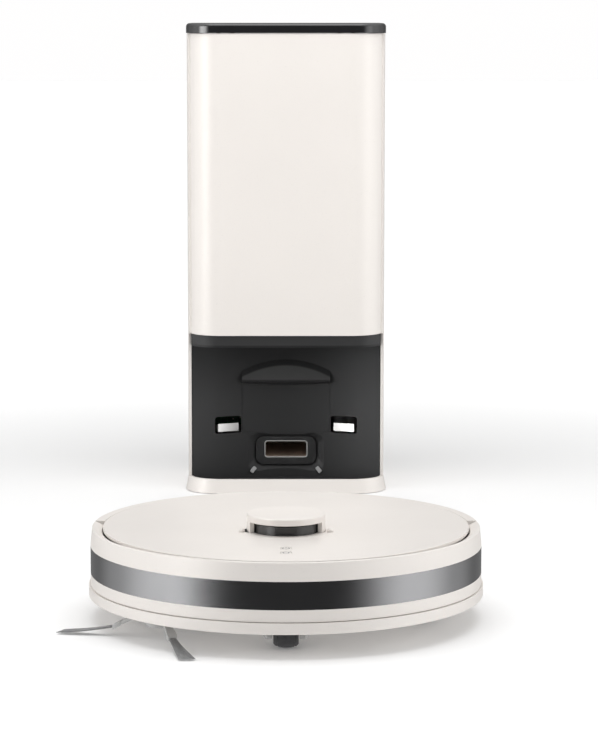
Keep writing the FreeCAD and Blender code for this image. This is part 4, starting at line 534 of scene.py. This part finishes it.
# %% Finish every piece
FINISHES = {
    white_shell: """dock_plinth dock_rear_shell dock_front_cover robot_base robot_shell top_cover bumper
        turret_cap brush_guard""",
    white_key: "power_button home_button",
    black_gloss: "dock_lid cliff_sensors",
    lidar_gloss: "lidar_head",
    black_satin: "exhaust_grille power_inlet dustbin",
    recess_lining: "dock_recess_panel",
    band_finish: "bumper_band robot_rear_band",
    seal_rubber: "dust_port_seal lidar_belt",
    foot_rubber: "dock_feet",
    tyre_rubber: "left_tyre right_tyre caster_wheel",
    roller_rubber: "main_brush",
    nickel: "left_charge_contact right_charge_contact robot_charge_pads",
    steel: "dock_lid_hinge_pins caster_axle robot_screws bumper_springs",
    motor_can: "dock_fan_motor side_brush_motor",
    light_grey: "caster_holder side_brush_hub bin_latch left_wheel_hub right_wheel_hub",
    dark_inner: """lidar_base left_wheel_arm right_wheel_arm bin_outlet_door dock_fan_housing
        robot_fan_housing lidar_pulley""",
    white_inner: "bag_chamber dock_fan_impeller robot_fan_impeller",
    duct_brown: "dust_duct",
    board_green: "dock_circuit_board control_board",
    battery_wrap: "battery_pack",
    bag_paper: "dust_bag",
    card: "bag_collar",
    filter_paper: "dock_prefilter bin_filter",
    nylon: "side_brush_bristles",
}


def dress(piece, material):
    """Give a piece one material all over."""
    piece.data.materials.clear()
    piece.data.materials.append(material)


finished = set()
for material, names in FINISHES.items():
    for name in names.split():
        dress(NODES[name], material)
        finished.add(name)
print("pieces finished:", len(finished), "left over:", sorted(set(NODES) - finished))


# %% [markdown]
# **Soft edges.** No moulded edge is razor sharp: a radius of a few tenths of a millimetre catches the light
# as a thin bright line, and that line is most of what makes plastic look real. Pieces whose shape is full of
# openings keep that shape: we weld a copy, clear its flat faces of needless edges, and bevel what is sharp.
# Last, large faces keep their own direction to the light, so that a bevel doesn't shade across them.

# %% Soften edges
def mode(name):
    """Open the active piece for editing, or close it."""
    bpy.ops.object.mode_set(mode=name)


def alone(piece):
    """Make a piece the active one and the only one selected."""
    bpy.ops.object.select_all(action="DESELECT")
    bpy.context.view_layer.objects.active = piece
    piece.select_set(True)


def modified(piece, kind, **settings):
    """Give a piece a modifier and apply it."""
    modifier = piece.modifiers.new(kind.lower(), kind)
    for key, value in settings.items():
        setattr(modifier, key, value)
    bpy.context.view_layer.objects.active = piece
    bpy.ops.object.modifier_apply(modifier=modifier.name)


def finish_edges(piece, width, segments=3):
    """Bevel a piece's sharp edges and smooth the rest."""
    bpy.context.view_layer.objects.active = piece
    piece.select_set(True)
    modified(
        piece, "BEVEL", width=width, segments=segments, limit_method="ANGLE",
        angle_limit=math.radians(28.0), use_clamp_overlap=True,
    )
    bpy.ops.object.shade_smooth_by_angle(angle=math.radians(35.0))
    modified(piece, "WEIGHTED_NORMAL", weight=100, keep_sharp=True)
    piece.select_set(False)


def place_piece(piece, body, material=None):
    """Let a finished piece ride its body and finish."""
    if material:
        dress(piece, material)
    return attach(piece, body)


def softened(node, body, width, segments=2):
    """A piece of the frame with its sharp edges rounded."""
    piece = new_object("soft_" + node, NODES[node].data.copy())
    bpy.context.view_layer.objects.active = piece
    piece.select_set(True)
    mode("EDIT")
    bpy.ops.mesh.select_all(action="SELECT")
    bpy.ops.mesh.remove_doubles(threshold=0.00001)
    bpy.ops.mesh.dissolve_limited(angle_limit=math.radians(0.15))
    mode("OBJECT")
    finish_edges(piece, width, segments)
    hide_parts(node)
    return place_piece(piece, body)


for node, body, slot, width in (
    ("dock_plinth", "dock", "white_shell", 0.0006),
    ("dock_rear_shell", "dock", "white_shell", 0.0004),
    ("dock_recess_panel", "dock", "black_satin", 0.0004),
    ("dock_lid", "dock_lid", "black_gloss", 0.0005),
    ("exhaust_grille", "dock", "black_satin", 0.0003),
    ("power_inlet", "dock", "black_satin", 0.0003),
    ("bag_collar", "dock", "collar_card", 0.0003),
    ("bumper", "bumper", "white_shell", 0.0004),
    ("robot_shell", "robot", "white_shell", 0.0004),
    ("top_cover", "robot", "white_shell", 0.0003),
    ("robot_base", "robot", "white_shell", 0.0004),
    ("brush_guard", "robot", "white_shell", 0.0005),
    ("lidar_head", "lidar", "black_gloss", 0.0006),
    ("dustbin", "bin", "black_satin", 0.0005),
    ("bin_latch", "bin_button", "grey_plastic", 0.0006),
    ("caster_holder", "caster_swivel", "grey_plastic", 0.0005),
    ("left_wheel_hub", "left_wheel", "grey_plastic", 0.0004),
    ("right_wheel_hub", "right_wheel", "grey_plastic", 0.0004),
    ("left_tyre", "left_wheel", "tyre_rubber", 0.0003),
    ("right_tyre", "right_wheel", "tyre_rubber", 0.0003),
    ("left_charge_contact", "left_contact", "contact_metal", 0.0003),
    ("right_charge_contact", "right_contact", "contact_metal", 0.0003),
):
    made = softened(node, body, width)
    print(made.name, len(made.data.polygons), "faces")


# %% [markdown]
# # Pieces modelled by hand
# A few small tools first. `pick` selects faces or edges by a test, so that an edit-mode tool acts on just
# those. `turned` starts from a circle primitive, lays its points on an outline and spins it, as a potter
# turns clay: it makes every round piece here. `block` and `carved` add and take away, and `wire` draws thin
# strands.

# %% Modelling tools
def edit(piece):
    """Make one piece active and open it for editing."""
    if bpy.context.object and bpy.context.object.mode == "EDIT":
        mode("OBJECT")
    alone(piece)
    mode("EDIT")


def done(piece):
    """Close the edit and tidy the mesh."""
    mode("EDIT")
    bpy.ops.mesh.select_all(action="SELECT")
    bpy.ops.mesh.remove_doubles(threshold=0.000005)
    bpy.ops.mesh.normals_make_consistent(inside=False)
    mode("OBJECT")
    piece.select_set(False)
    return piece


def pick(piece, test, kind="FACE"):
    """Select the faces or edges that pass a test, and stay in edit mode."""
    edit(piece)
    bpy.ops.mesh.select_mode(type=kind)
    bpy.ops.mesh.select_all(action="DESELECT")
    mode("OBJECT")
    mesh = piece.data
    if kind == "EDGE":
        for edge in mesh.edges:
            first, second = (mesh.vertices[i].co for i in edge.vertices)
            edge.select = bool(test(first, second))
    else:
        for face in mesh.polygons:
            face.select = bool(test(face.center, face.normal))
    mode("EDIT")


def settle(piece):
    """Put a piece's place into its mesh."""
    mode("OBJECT")
    alone(piece)
    bpy.ops.object.transform_apply(location=True, rotation=True, scale=True)
    piece.select_set(False)
    return piece


def started(name):
    """Name the primitive that was just added and put its place into its mesh."""
    piece = bpy.context.active_object
    piece.name = name
    piece.data.name = name
    return settle(piece)


def turned(name, profile, centre, steps, angle=360.0, start=0.0, axis=UP, filled=False):
    """Spin a closed outline of (distance from the axis, place along it) round an axis through centre."""
    axis = Vector(axis)
    outward = Vector((1.0, 0.0, 0.0)) if abs(axis.z) > 0.5 else Vector((0.0, 1.0, 0.0))
    outward.rotate(Quaternion(axis, math.radians(start)))
    fill = "NGON" if filled else "NOTHING"
    bpy.ops.mesh.primitive_circle_add(vertices=len(profile), radius=0.01, fill_type=fill)
    piece = started(name)
    for point, (away, along) in zip(piece.data.vertices, profile):
        point.co = Vector(centre) + outward * away + axis * along
    edit(piece)
    bpy.ops.mesh.select_all(action="SELECT")
    bpy.ops.mesh.spin(steps=steps, angle=math.radians(angle), center=centre, axis=axis)
    return done(piece)


def block(name, place, extent, turn=0.0):
    """A cube stretched to a box and turned about the upright axis."""
    bpy.ops.mesh.primitive_cube_add(size=1.0, location=place, rotation=(0.0, 0.0, turn))
    bpy.context.active_object.scale = extent
    return started(name)


def carved(piece, cutter):
    """A piece with another taken away from it; the cutter is used up."""
    modified(piece, "BOOLEAN", operation="DIFFERENCE", object=cutter, solver="EXACT")
    bpy.data.objects.remove(cutter)
    return piece


def wire(name, radius, resolution):
    """A round wire that still needs its strands."""
    curve = bpy.data.curves.new(name, "CURVE")
    curve.dimensions = "3D"
    curve.bevel_depth = radius
    curve.bevel_resolution = resolution
    curve.use_fill_caps = True
    return curve


def drawn(name, curve):
    """A wire made into a mesh piece."""
    alone(new_object(name, curve))
    bpy.ops.object.convert(target="MESH")
    return bpy.context.active_object


def mirrored_outline(half):
    """An outline and its mirror image about the middle of its length."""
    return half + [(away, -along) for away, along in reversed(half)]


def joined(pieces):
    """Several meshes as one piece."""
    bpy.ops.object.select_all(action="DESELECT")
    for piece in pieces:
        piece.select_set(True)
    bpy.context.view_layer.objects.active = pieces[0]
    bpy.ops.object.join()
    pieces[0].select_set(False)
    return pieces[0]


def stands_for(piece, node, body, material, width=0.0003, segments=2, edges=True):
    """Finish a piece's edges, dress it, and let it replace a piece of the frame."""
    if edges:
        finish_edges(piece, width, segments)
    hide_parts(node)
    return place_piece(piece, body, material)


print("modelling tools ready")


# %% [markdown]
# **The turret's cap.** A white disc on two short curved posts, which keeps knocks away from the laser head.
# The disc is turned from its outline: a soft rim, a top that dishes in by a hair so that it shades from one
# side to the other, and a hollow underside. Each post is the same turning over a small angle.

# %% Turret cap
cap_low, cap_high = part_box("turret_cap")
CAP_R = (cap_high.x - cap_low.x) / 2
CAP_TOP = cap_high.z
DISH, RIM_HEIGHT, DISC_THICKNESS = 0.0003, 0.0062, 0.0046
turret_axis = (TURRET.x, TURRET.y, 0.0)
cap_outline = [(away, CAP_TOP - down) for away, down in (
    (0.0, DISH), (CAP_R * 0.82, DISH), (CAP_R * 0.87, 0.0), (CAP_R - 0.0014, 0.0), (CAP_R - 0.0005, 0.0003),
    (CAP_R, 0.0011), (CAP_R, RIM_HEIGHT), (CAP_R - 0.0028, RIM_HEIGHT), (CAP_R - 0.0034, DISC_THICKNESS),
    (0.0, DISC_THICKNESS),
)]
crown = turned("turret_crown", cap_outline, turret_axis, 144)
POST_INSIDE, POST_TOP, POST_HALF_WIDTH = CAP_R - 0.0043, CAP_TOP - 0.0055, 0.013
post_outline = [(POST_INSIDE, cap_low.z), (CAP_R, cap_low.z), (CAP_R, POST_TOP), (POST_INSIDE, POST_TOP)]
POST_SPREAD = math.degrees(2 * math.asin(POST_HALF_WIDTH / (CAP_R - 0.002)))
posts = [
    turned("turret_post", post_outline, turret_axis, 12, POST_SPREAD, facing + POST_SPREAD / 2, filled=True)
    for facing in (0.0, 180.0)
]
crown = joined([crown] + posts)
stands_for(crown, "turret_cap", "turret", white_shell, 0.0004)
print(crown.name, len(crown.data.polygons), "faces")


# %% [markdown]
# **Studs and screws.** Beside each post a small domed stud sits in a dimple, and six screws hold the base
# from below. A stud is turned from a bullet-shaped outline. A screw is a disc whose face is inset twice and
# sunk, and two short bars are taken away from it for its cross recess.

# %% Studs and screws
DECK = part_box("top_cover")[1].z
SCREW_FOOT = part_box("robot_screws")[0].z
STUD_ASIDE, STUD_FORWARD = 0.0385, 0.0085
SCREW_R, SCREW_HEIGHT = 0.0026, 0.0013
SCREW_CIRCLE, SCREW_TURNS = 0.158, (30, 62, 118, 150, 232, 308)
stud_outline = [
    (0.0, 0.0036), (0.0009, 0.0035), (0.0017, 0.0031), (0.0023, 0.0024), (0.0026, 0.0014),
    (0.0026, -0.0015), (0.0012, -0.0015), (0.0012, -0.0027), (0.0, -0.0027),
]
studs = joined([
    turned("turret_stud", stud_outline, (TURRET.x + side * STUD_ASIDE, TURRET.y - STUD_FORWARD, DECK), 40)
    for side in (-1, 1)
])
studs.name = "turret_studs"
stands_for(studs, "robot_screws", "robot", white_key, edges=False)


def cross_screw(name, x, y, z):
    """A countersunk screw seen from below, with a cross recess."""
    bpy.ops.mesh.primitive_cylinder_add(
        vertices=32, radius=SCREW_R, depth=SCREW_HEIGHT, location=(x, y, z + SCREW_HEIGHT / 2)
    )
    screw = started(name)
    pick(screw, lambda middle, normal: normal.z < -0.9)
    bpy.ops.mesh.inset(thickness=0.0005)
    bpy.ops.mesh.inset(thickness=0.0006)
    bpy.ops.transform.translate(value=(0.0, 0.0, 0.0006))
    done(screw)
    for turn in (25.0, 115.0):
        carved(screw, block("arm", (x, y, z + 0.0003), (0.0034, 0.00055, 0.0014), math.radians(turn)))
    return screw


screws = joined([
    cross_screw(
        "base_screw", ROBOT.x + SCREW_CIRCLE * math.cos(math.radians(angle)),
        ROBOT.y + SCREW_CIRCLE * math.sin(math.radians(angle)), SCREW_FOOT,
    )
    for angle in SCREW_TURNS
])
screws.name = "base_screws"
stands_for(screws, "robot_screws", "robot", steel, 0.00008, 1)
print(studs.name, screws.name, len(screws.data.polygons), "faces")


# %% [markdown]
# **The two keys.** Power and home are white stadiums, level with the cover. Each starts as a cube whose
# upright edges are beveled round, and carries a printed sign: a ring with a bar for power, a small house for
# home. The signs are thin inlays a few hundredths of a millimetre proud, in grey ink.

# %% Keys
ink = moulded("grey_ink", (0.16, 0.16, 0.165), 0.5, 4e-6)
KEY_CAP, STEM_R, STEM_OVERLAP = 0.0028, 0.0022, 0.0001


def rounded_bar(name, low, high, radius, steps=8, upright=True):
    """A cube between two corners, with its four upright edges (or its four lengthwise ones) made round."""
    extent = Vector(high) - Vector(low)
    bar = block(name, (Vector(low) + Vector(high)) / 2, extent)
    way = 2 if upright else 1
    pick(bar, lambda a, b: abs((b - a)[way]) > 0.9 * extent[way], "EDGE")
    bpy.ops.mesh.bevel(offset=radius, segments=steps, affect="EDGES")
    return done(bar)


def key_sign(name, strokes, centre, z):
    """Thin inlays: each stroke is a bar from one point to another, in millimetres about the key."""
    bars = []
    for (x0, y0), (x1, y1) in strokes:
        span = Vector((x1 - x0, y1 - y0))
        place = (centre[0] + (x0 + x1) / 2 * MM, centre[1] + (y0 + y1) / 2 * MM, z)
        extent = ((span.length + 0.5) * MM, 0.7 * MM, 0.06 * MM)
        bars.append(block(name, place, extent, math.atan2(span.y, span.x)))
    return joined(bars)


def arc(radius, start, end, steps):
    """Strokes along part of a circle."""
    angles = [math.radians(start + (end - start) * i / steps) for i in range(steps + 1)]
    points = [(radius * math.cos(a), radius * math.sin(a)) for a in angles]
    return list(zip(points, points[1:]))


POWER_SIGN = arc(3.0, -235.0, 55.0, 20) + [((0.0, 0.9), (0.0, 3.8))]
HOME_SIGN = [
    ((-3.2, 0.2), (0.0, 3.2)), ((0.0, 3.2), (3.2, 0.2)), ((-2.2, 0.6), (-2.2, -2.9)),
    ((-2.2, -2.9), (2.2, -2.9)), ((2.2, -2.9), (2.2, 0.6)),
]
SIGNS = (("power_button", "power_key", POWER_SIGN), ("home_button", "home_key", HOME_SIGN))
for node, body, strokes in SIGNS:
    key_low, key_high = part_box(node)
    corner_r = (key_high.x - key_low.x) / 2 - 1e-5
    key = rounded_bar(body + "_cap", (key_low.x, key_low.y, key_high.z - KEY_CAP), key_high, corner_r, 12)
    key_axis = ((key_low.x + key_high.x) / 2, (key_low.y + key_high.y) / 2, 0.0)
    stem_top = key_high.z - KEY_CAP + STEM_OVERLAP
    stem_outline = [(0.0, key_low.z), (STEM_R, key_low.z), (STEM_R, stem_top), (0.0, stem_top)]
    key = joined([key, turned("stem", stem_outline, key_axis, 24)])
    stands_for(key, node, body, white_key, 0.0003)
    sign = key_sign(body + "_sign", strokes, key_axis, key_high.z)
    place_piece(sign, body, ink)
    print(key.name, sign.name)


# %% [markdown]
# **The caster wheel.** Black and slightly crowned, with two fine grooves where its tread meets its sides. It
# is turned about its own axle, which lies across the robot.

# %% Caster wheel
wheel_low, wheel_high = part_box("caster_wheel")
HALF = (wheel_high.x - wheel_low.x) / 2
ROLL_R = (wheel_high.z - wheel_low.z) / 2
roll_outline = mirrored_outline([
    (0.0017, -HALF), (0.0095, -HALF), (0.0100, -HALF + 0.0006), (0.0108, -HALF + 0.0006), (0.0114, -HALF),
    (ROLL_R - 0.0036, -HALF), (ROLL_R - 0.0022, -HALF * 0.90), (ROLL_R - 0.0013, -HALF * 0.74),
    (ROLL_R - 0.0016, -HALF * 0.71), (ROLL_R - 0.0016, -HALF * 0.67), (ROLL_R - 0.0010, -HALF * 0.64),
    (ROLL_R - 0.0004, -HALF * 0.4), (ROLL_R, -HALF * 0.1),
])
roller = turned("caster_roller_wheel", roll_outline, middle("caster_wheel"), 72, axis=SIDEWAYS)
stands_for(roller, "caster_wheel", "caster_roller", tyre_rubber, edges=False)
print(roller.name, len(roller.data.polygons), "faces")


# %% [markdown]
# ** The side brush.** A light grey hub turned from its outline, three flat arms, and a tuft of nylon hair at
# the end of each. An arm is a cube stretched along the brush, cut into short lengths and bent to droop
# towards the floor. A tuft is a row of fine tapered hairs that start side by side and fan out. One arm and
# one tuft are made, and the other two are copies turned by a third of a turn.

# %% Side brush
HUB_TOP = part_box("side_brush_hub")[1].z
BRUSH_ASIDE, BRUSH_FORWARD = 0.108, 0.090
BRUSH = Vector((ROBOT.x - BRUSH_ASIDE, ROBOT.y - BRUSH_FORWARD, 0.0))
ARM_TURNS = (167.0, 287.0, 47.0)
hub_outline = [
    (0.0, 0.0118), (0.0032, 0.0118), (0.0036, 0.0105), (0.0094, 0.0105), (0.0112, 0.0110), (0.0124, 0.0122),
    (0.0130, 0.0140), (0.0130, 0.0200), (0.0122, 0.0208), (0.0052, 0.0208), (0.0049, HUB_TOP), (0.0, HUB_TOP),
]
hub = turned("brush_hub", hub_outline, (BRUSH.x, BRUSH.y, 0.0), 64)


def swept_bar(name, path, half_widths):
    """A flat bar whose upper and lower outline are given as (distance, low, high), with a width at each."""
    last = len(path) - 1
    bar = block(name, (0.5, 0.0, 0.0), (1.0, 1.0, 1.0))
    edit(bar)
    for step in range(1, last):
        bpy.ops.mesh.select_all(action="SELECT")
        bpy.ops.mesh.bisect(plane_co=(step / last, 0.0, 0.0), plane_no=SIDEWAYS)
    mode("OBJECT")
    for point in bar.data.vertices:
        index = round(point.co.x * last)
        away, low, high = path[index]
        point.co = (away, math.copysign(half_widths[index], point.co.y), high if point.co.z > 0 else low)
    return done(bar)


ARM_PATH = [
    (0.009, 0.0165, 0.0204), (0.016, 0.0162, 0.0201), (0.0225, 0.0159, 0.0197), (0.028, 0.0136, 0.0172),
    (0.034, 0.0107, 0.0142), (0.0385, 0.0083, 0.0116), (0.0410, 0.0072, 0.0104),
]
arm = swept_bar("brush_arm", ARM_PATH, [0.0040, 0.0039, 0.0037, 0.0036, 0.0035, 0.0035, 0.0034])
finish_edges(arm, 0.0005, 2)
ferrule = swept_bar("brush_ferrule", [
    (0.0345, 0.0100, 0.0144), (0.037, 0.0087, 0.0131), (0.0395, 0.0074, 0.0117), (0.0420, 0.0064, 0.0102),
], [0.0040, 0.0043, 0.0043, 0.0038])
finish_edges(ferrule, 0.0006, 2)
arm = joined([arm, ferrule])

rng = random.Random(7)
HAIRS, HAIR_R, HAIR_REACH = 44, 0.00028, 0.0899
hairs = wire("hairs", HAIR_R, 1)
for index in range(HAIRS):
    share = (index + 0.5) / HAIRS * 2 - 1 + rng.uniform(-0.02, 0.02)
    layer = (index % 3 - 1) * 0.0006
    strand = hairs.splines.new("POLY")
    strand.points.add(5)
    reach = HAIR_REACH + share * 0.0015 + rng.uniform(-0.0008, 0.0004)
    for place, (away, height, spread) in enumerate((
        (0.0405, 0.0088, 0.0028), (0.050, 0.0070, 0.0033), (0.060, 0.0052, 0.0042),
        (0.070, 0.0038, 0.0052), (0.080, 0.0028, 0.0061), (reach, 0.0018, 0.0068),
    )):
        wave = rng.uniform(-0.00012, 0.00012)
        strand.points[place].co = (away, share * spread + wave, height + layer * (1 - place * 0.14), 1.0)
        strand.points[place].radius = 1.0 - 0.09 * place
tuft = drawn("brush_hair", hairs)


def turned_copies(piece, angles, centre):
    """A piece made along X, copied to each angle about an upright axis, as one piece."""
    copies = []
    for angle in angles:
        copy = piece.copy()
        copy.data = piece.data.copy()
        copy.rotation_euler = (0.0, 0.0, math.radians(angle))
        copy.location = centre
        bpy.context.scene.collection.objects.link(copy)
        copies.append(settle(copy))
    bpy.data.objects.remove(piece)
    return joined(copies)


arms = turned_copies(arm, ARM_TURNS, BRUSH)
tufts = turned_copies(tuft, ARM_TURNS, BRUSH)
finish_edges(hub, 0.0002, 2)
brush = joined([hub, arms])
stands_for(brush, "side_brush_hub", "side_brush", light_grey, edges=False)
stands_for(tufts, "side_brush_bristles", "side_brush", nylon, edges=False)
print(brush.name, tufts.name, len(tufts.data.polygons), "faces")


# %% [markdown]
# **The main brush.** A round core with six soft fins that wind around it, so that hair is swept to the
# middle. A fin starts as a thin plate cut into many lengths; each length is then turned a little further
# about the core, one way on the left half and the other way on the right.

# %% Main brush
core_low, core_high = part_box("main_brush")
core_mid = middle("main_brush")
HALF_ROLL = (core_high.x - core_low.x) / 2
FIN_R = core_high.z - core_mid.z - 0.0003
FIN_FOOT_R, FIN_HALF_LENGTH, FIN_THICKNESS, SLICES = 0.0076, 0.0788, 0.0016, 48
WIND, LEAN = 38.0, 6.0
roller_outline = mirrored_outline([
    (0.0, -HALF_ROLL), (0.0040, -HALF_ROLL), (0.0040, -0.0835), (0.0110, -0.0830), (0.0116, -0.0825),
    (0.0116, -0.0800), (0.0080, -0.0795),
])
roller_core = turned("roller_core", roller_outline, core_mid, 48, axis=SIDEWAYS)
fins = []
for number in range(6):
    bpy.ops.mesh.primitive_grid_add(x_subdivisions=SLICES, y_subdivisions=4, size=1.0)
    fin = started("fin")
    for point in fin.data.vertices:
        along = point.co.x * 2.0
        out = point.co.y + 0.5
        around = math.radians(number * 60.0 + WIND * (1.0 - abs(along)) + LEAN * out * out)
        radius = FIN_FOOT_R + (FIN_R - FIN_FOOT_R) * out
        point.co = (
            core_mid.x + along * FIN_HALF_LENGTH,
            core_mid.y + math.cos(around) * radius,
            core_mid.z + math.sin(around) * radius,
        )
    bpy.ops.object.select_all(action="DESELECT")
    modified(fin, "SOLIDIFY", thickness=FIN_THICKNESS, offset=0.0)
    fins.append(fin)
roller_piece = joined([roller_core] + fins)
roller_piece.name = "wound_roller"
stands_for(roller_piece, "main_brush", "roller_brush", roller_rubber, 0.0003, 2)
print(roller_piece.name, len(roller_piece.data.polygons), "faces")


# %% [markdown]
# **The bumper's springs.** Two short coils sit on the base's inner wall. Each is a wire wound on a helix, and
# ends a bumper's travel short of the bumper, so that a press never drives the wire through the wall.

# %% Bumper springs
spring_low, spring_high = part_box("bumper_springs")
SPRING_Z = (spring_low.z + spring_high.z) / 2
SPRING_R = (spring_high.z - spring_low.z) / 2
COIL_START, COIL_LENGTH, WIRE_R, TURNS = 0.1657, 0.0026, 0.0003, 3
STEPS = 24 * TURNS
coils = []
for angle in (-60.0, -120.0):
    helix = wire("bumper_coil", WIRE_R, 2)
    run = helix.splines.new("POLY")
    run.points.add(STEPS)
    outward = Vector((math.cos(math.radians(angle)), math.sin(math.radians(angle)), 0.0))
    sideways_of_it = Vector((-outward.y, outward.x, 0.0))
    for step in range(STEPS + 1):
        turn = 2 * math.pi * TURNS * step / STEPS
        spot = ROBOT + outward * (COIL_START + WIRE_R + (COIL_LENGTH - 2 * WIRE_R) * step / STEPS)
        spot += sideways_of_it * (SPRING_R - WIRE_R) * math.cos(turn)
        spot.z = SPRING_Z + (SPRING_R - WIRE_R) * math.sin(turn)
        run.points[step].co = (*spot, 1.0)
    coils.append(drawn("bumper_coil", helix))
coils = joined(coils)
stands_for(coils, "bumper_springs", "robot", steel, edges=False)
print(coils.name, len(coils.data.polygons), "faces")


# %% [markdown]
# **The tower's front cover.** One white moulding whose wide round corners run all the way down. It starts as
# a cube as large as the whole tower. Its two front upright edges are beveled round, everything behind the
# seam is cut away, its top and bottom are opened, and what is left gets the wall's thickness.

# %% Front cover
FRONT_CORNER_R = 0.037
TOWER_WALL = 0.003
cover = block(
    "tower_front", (0.0, 0.0, (DOCK_LOW.z + DOCK_HIGH.z) / 2),
    (DOCK_WIDTH, -2 * DOCK_FRONT, DOCK_HIGH.z - DOCK_LOW.z),
)
pick(cover, lambda a, b: abs((b - a).z) > 0.2 and a.y < -0.05, "EDGE")
bpy.ops.mesh.bevel(offset=FRONT_CORNER_R, segments=24, affect="EDGES")
bpy.ops.mesh.select_all(action="SELECT")
bpy.ops.mesh.bisect(plane_co=(0.0, DOCK_HIGH.y, 0.0), plane_no=(0.0, 1.0, 0.0), clear_outer=True)
pick(cover, lambda middle, normal: abs(normal.z) > 0.9 or normal.y > 0.9)
bpy.ops.mesh.delete(type="FACE")
done(cover)
modified(cover, "SOLIDIFY", thickness=TOWER_WALL, offset=-1.0, use_even_offset=True)
stands_for(cover, "dock_front_cover", "dock", white_shell, 0.0008, 3)
print(cover.name, len(cover.data.polygons), "faces")


# %% [markdown]
# ** The dust port.** A rubber ring with soft corners stands in the recess. The hollow through it is a second,
# smaller bar, taken away. Just inside lies a thin pale grey lip; its pale colour is a painted highlight that
# stands in for the light the ring's inner edge catches, and the lamps make it brightest along its lower edge.

# %% Dust port
def frame_piece(name, outer, inner, outer_r, inner_r, y_low, y_high):
    """A flat frame between two rounded rectangles given as (left, bottom, right, top)."""
    ring = rounded_bar(name, (outer[0], y_low, outer[1]), (outer[2], y_high, outer[3]), outer_r, 8, False)
    hollow = rounded_bar(
        "hollow", (inner[0], y_low - 0.01, inner[1]), (inner[2], y_high + 0.01, inner[3]), inner_r, 8, False
    )
    return carved(ring, hollow)


seal_low, seal_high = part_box("dust_port_seal")
PORT = (-0.0244, 0.0315, 0.0244, 0.0510)
PORT_R, LIP_R, SEAL_R = 0.0035, 0.0026, 0.0085
LIP, LIP_SETBACK, LIP_GAP = 0.0009, 0.0006, 1e-5
seal = frame_piece(
    "rubber_port_ring", (seal_low.x, seal_low.z, seal_high.x, seal_high.z), PORT, SEAL_R, PORT_R,
    seal_low.y, seal_high.y,
)
stands_for(seal, "dust_port_seal", "dock", seal_rubber, 0.0009, 3)


def inside_port(margin):
    """The port's opening, made smaller all round."""
    return (PORT[0] + margin, PORT[1] + margin, PORT[2] - margin, PORT[3] - margin)


# The lip's pale grey is a painted highlight on the port's inner edge.
lip = frame_piece(
    "port_lip", inside_port(LIP_GAP), inside_port(LIP), PORT_R, LIP_R, seal_low.y + LIP_SETBACK, seal_high.y
)
finish_edges(lip, 0.00025, 2)
place_piece(lip, "dock", port_edge_highlight_grey)
print(seal.name, lip.name)


# %% [markdown]
# ** Guide ribs.** At the two lower corners of the funnel a short pale, glossy rib leads the robot's outlet in.
# Its pale grey is a painted highlight: it stands in for the light that the funnel's corner facets catch. It is
# a rounded bar, turned to lie along the funnel's corner.

# %% Guide ribs
RIB_HALF = Vector((0.0042, 0.0022, 0.0007))
for side in (-1, 1):
    along = Vector((side * 0.0114, -0.0110, -0.0128)).normalized()
    across_rib = Vector((side * 0.7071, 0.0, 0.7071))
    across_rib = (across_rib - along * across_rib.dot(along)).normalized()
    outward = along.cross(across_rib) * -side
    rib = rounded_bar("guide_rib", -RIB_HALF, RIB_HALF, 0.0012, 5)
    seat = Vector((side * 0.0372, -0.0302, 0.0180))
    rib.matrix_world = Matrix((
        (along.x, across_rib.x, outward.x, seat.x),
        (along.y, across_rib.y, outward.y, seat.y),
        (along.z, across_rib.z, outward.z, seat.z),
        (0.0, 0.0, 0.0, 1.0),
    ))
    settle(rib)
    finish_edges(rib, 0.0004, 2)
    # The rib's pale grey is a painted highlight on the funnel's corner.
    place_piece(rib, "dock", rib_highlight_grey)
print("guide ribs ready")


# %% [markdown]
# **The dust bag.** A soft paper bag that hangs from its card collar. It is a rounded cube cut into a fine
# mesh, drawn in along the creases where it was folded flat in its box, and crumpled a little all over.

# %% Dust bag
bag_low, bag_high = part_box("dust_bag")
bag_mid = middle("dust_bag")
bag_half = (bag_high - bag_low) / 2
FOLD_DEPTH, CRUMPLE_DEPTH = 0.0016, 0.0014
bag = rounded_bar("paper_bag", bag_low, bag_high, 0.016, 6)
edit(bag)
bpy.ops.mesh.select_all(action="SELECT")
bpy.ops.mesh.bevel(offset=0.004, segments=3, affect="EDGES")
CUTS = 30
for axis in range(3):
    normal = [0.0, 0.0, 0.0]
    normal[axis] = 1.0
    for index in range(1, CUTS):
        spot = list(bag_mid)
        spot[axis] = bag_low[axis] + (bag_high[axis] - bag_low[axis]) * index / CUTS
        bpy.ops.mesh.select_all(action="SELECT")
        bpy.ops.mesh.bisect(plane_co=spot, plane_no=normal)
mode("OBJECT")
for point in bag.data.vertices:
    x, y, z = ((point.co[i] - bag_mid[i]) / bag_half[i] for i in range(3))
    fold = 0.5 + 0.5 * math.cos(math.pi * 5.0 * z + 0.8 * math.sin(4.0 * x))
    crumple = 0.5 + 0.25 * math.sin(9.0 * x + 5.0 * z) + 0.25 * math.sin(13.0 * z - 7.0 * y)
    shrink = FOLD_DEPTH * fold * (1.0 - abs(z) ** 4) + CRUMPLE_DEPTH * crumple
    waist = 1.0 - shrink / bag_half.x
    depth = 1.0 - shrink / bag_half.y
    height = 1.0 - 0.004 * (1.0 + math.cos(6.0 * x) * math.cos(5.0 * y))
    point.co = (
        bag_mid.x + x * waist * bag_half.x,
        bag_mid.y + y * depth * bag_half.y,
        bag_mid.z + z * height * bag_half.z,
    )
bag = done(bag)
bag.select_set(True)
bpy.context.view_layer.objects.active = bag
bpy.ops.object.shade_smooth_by_angle(angle=math.radians(60.0))
bag.select_set(False)
stands_for(bag, "dust_bag", "dock", bag_paper, edges=False)
print(bag.name, len(bag.data.polygons), "faces")
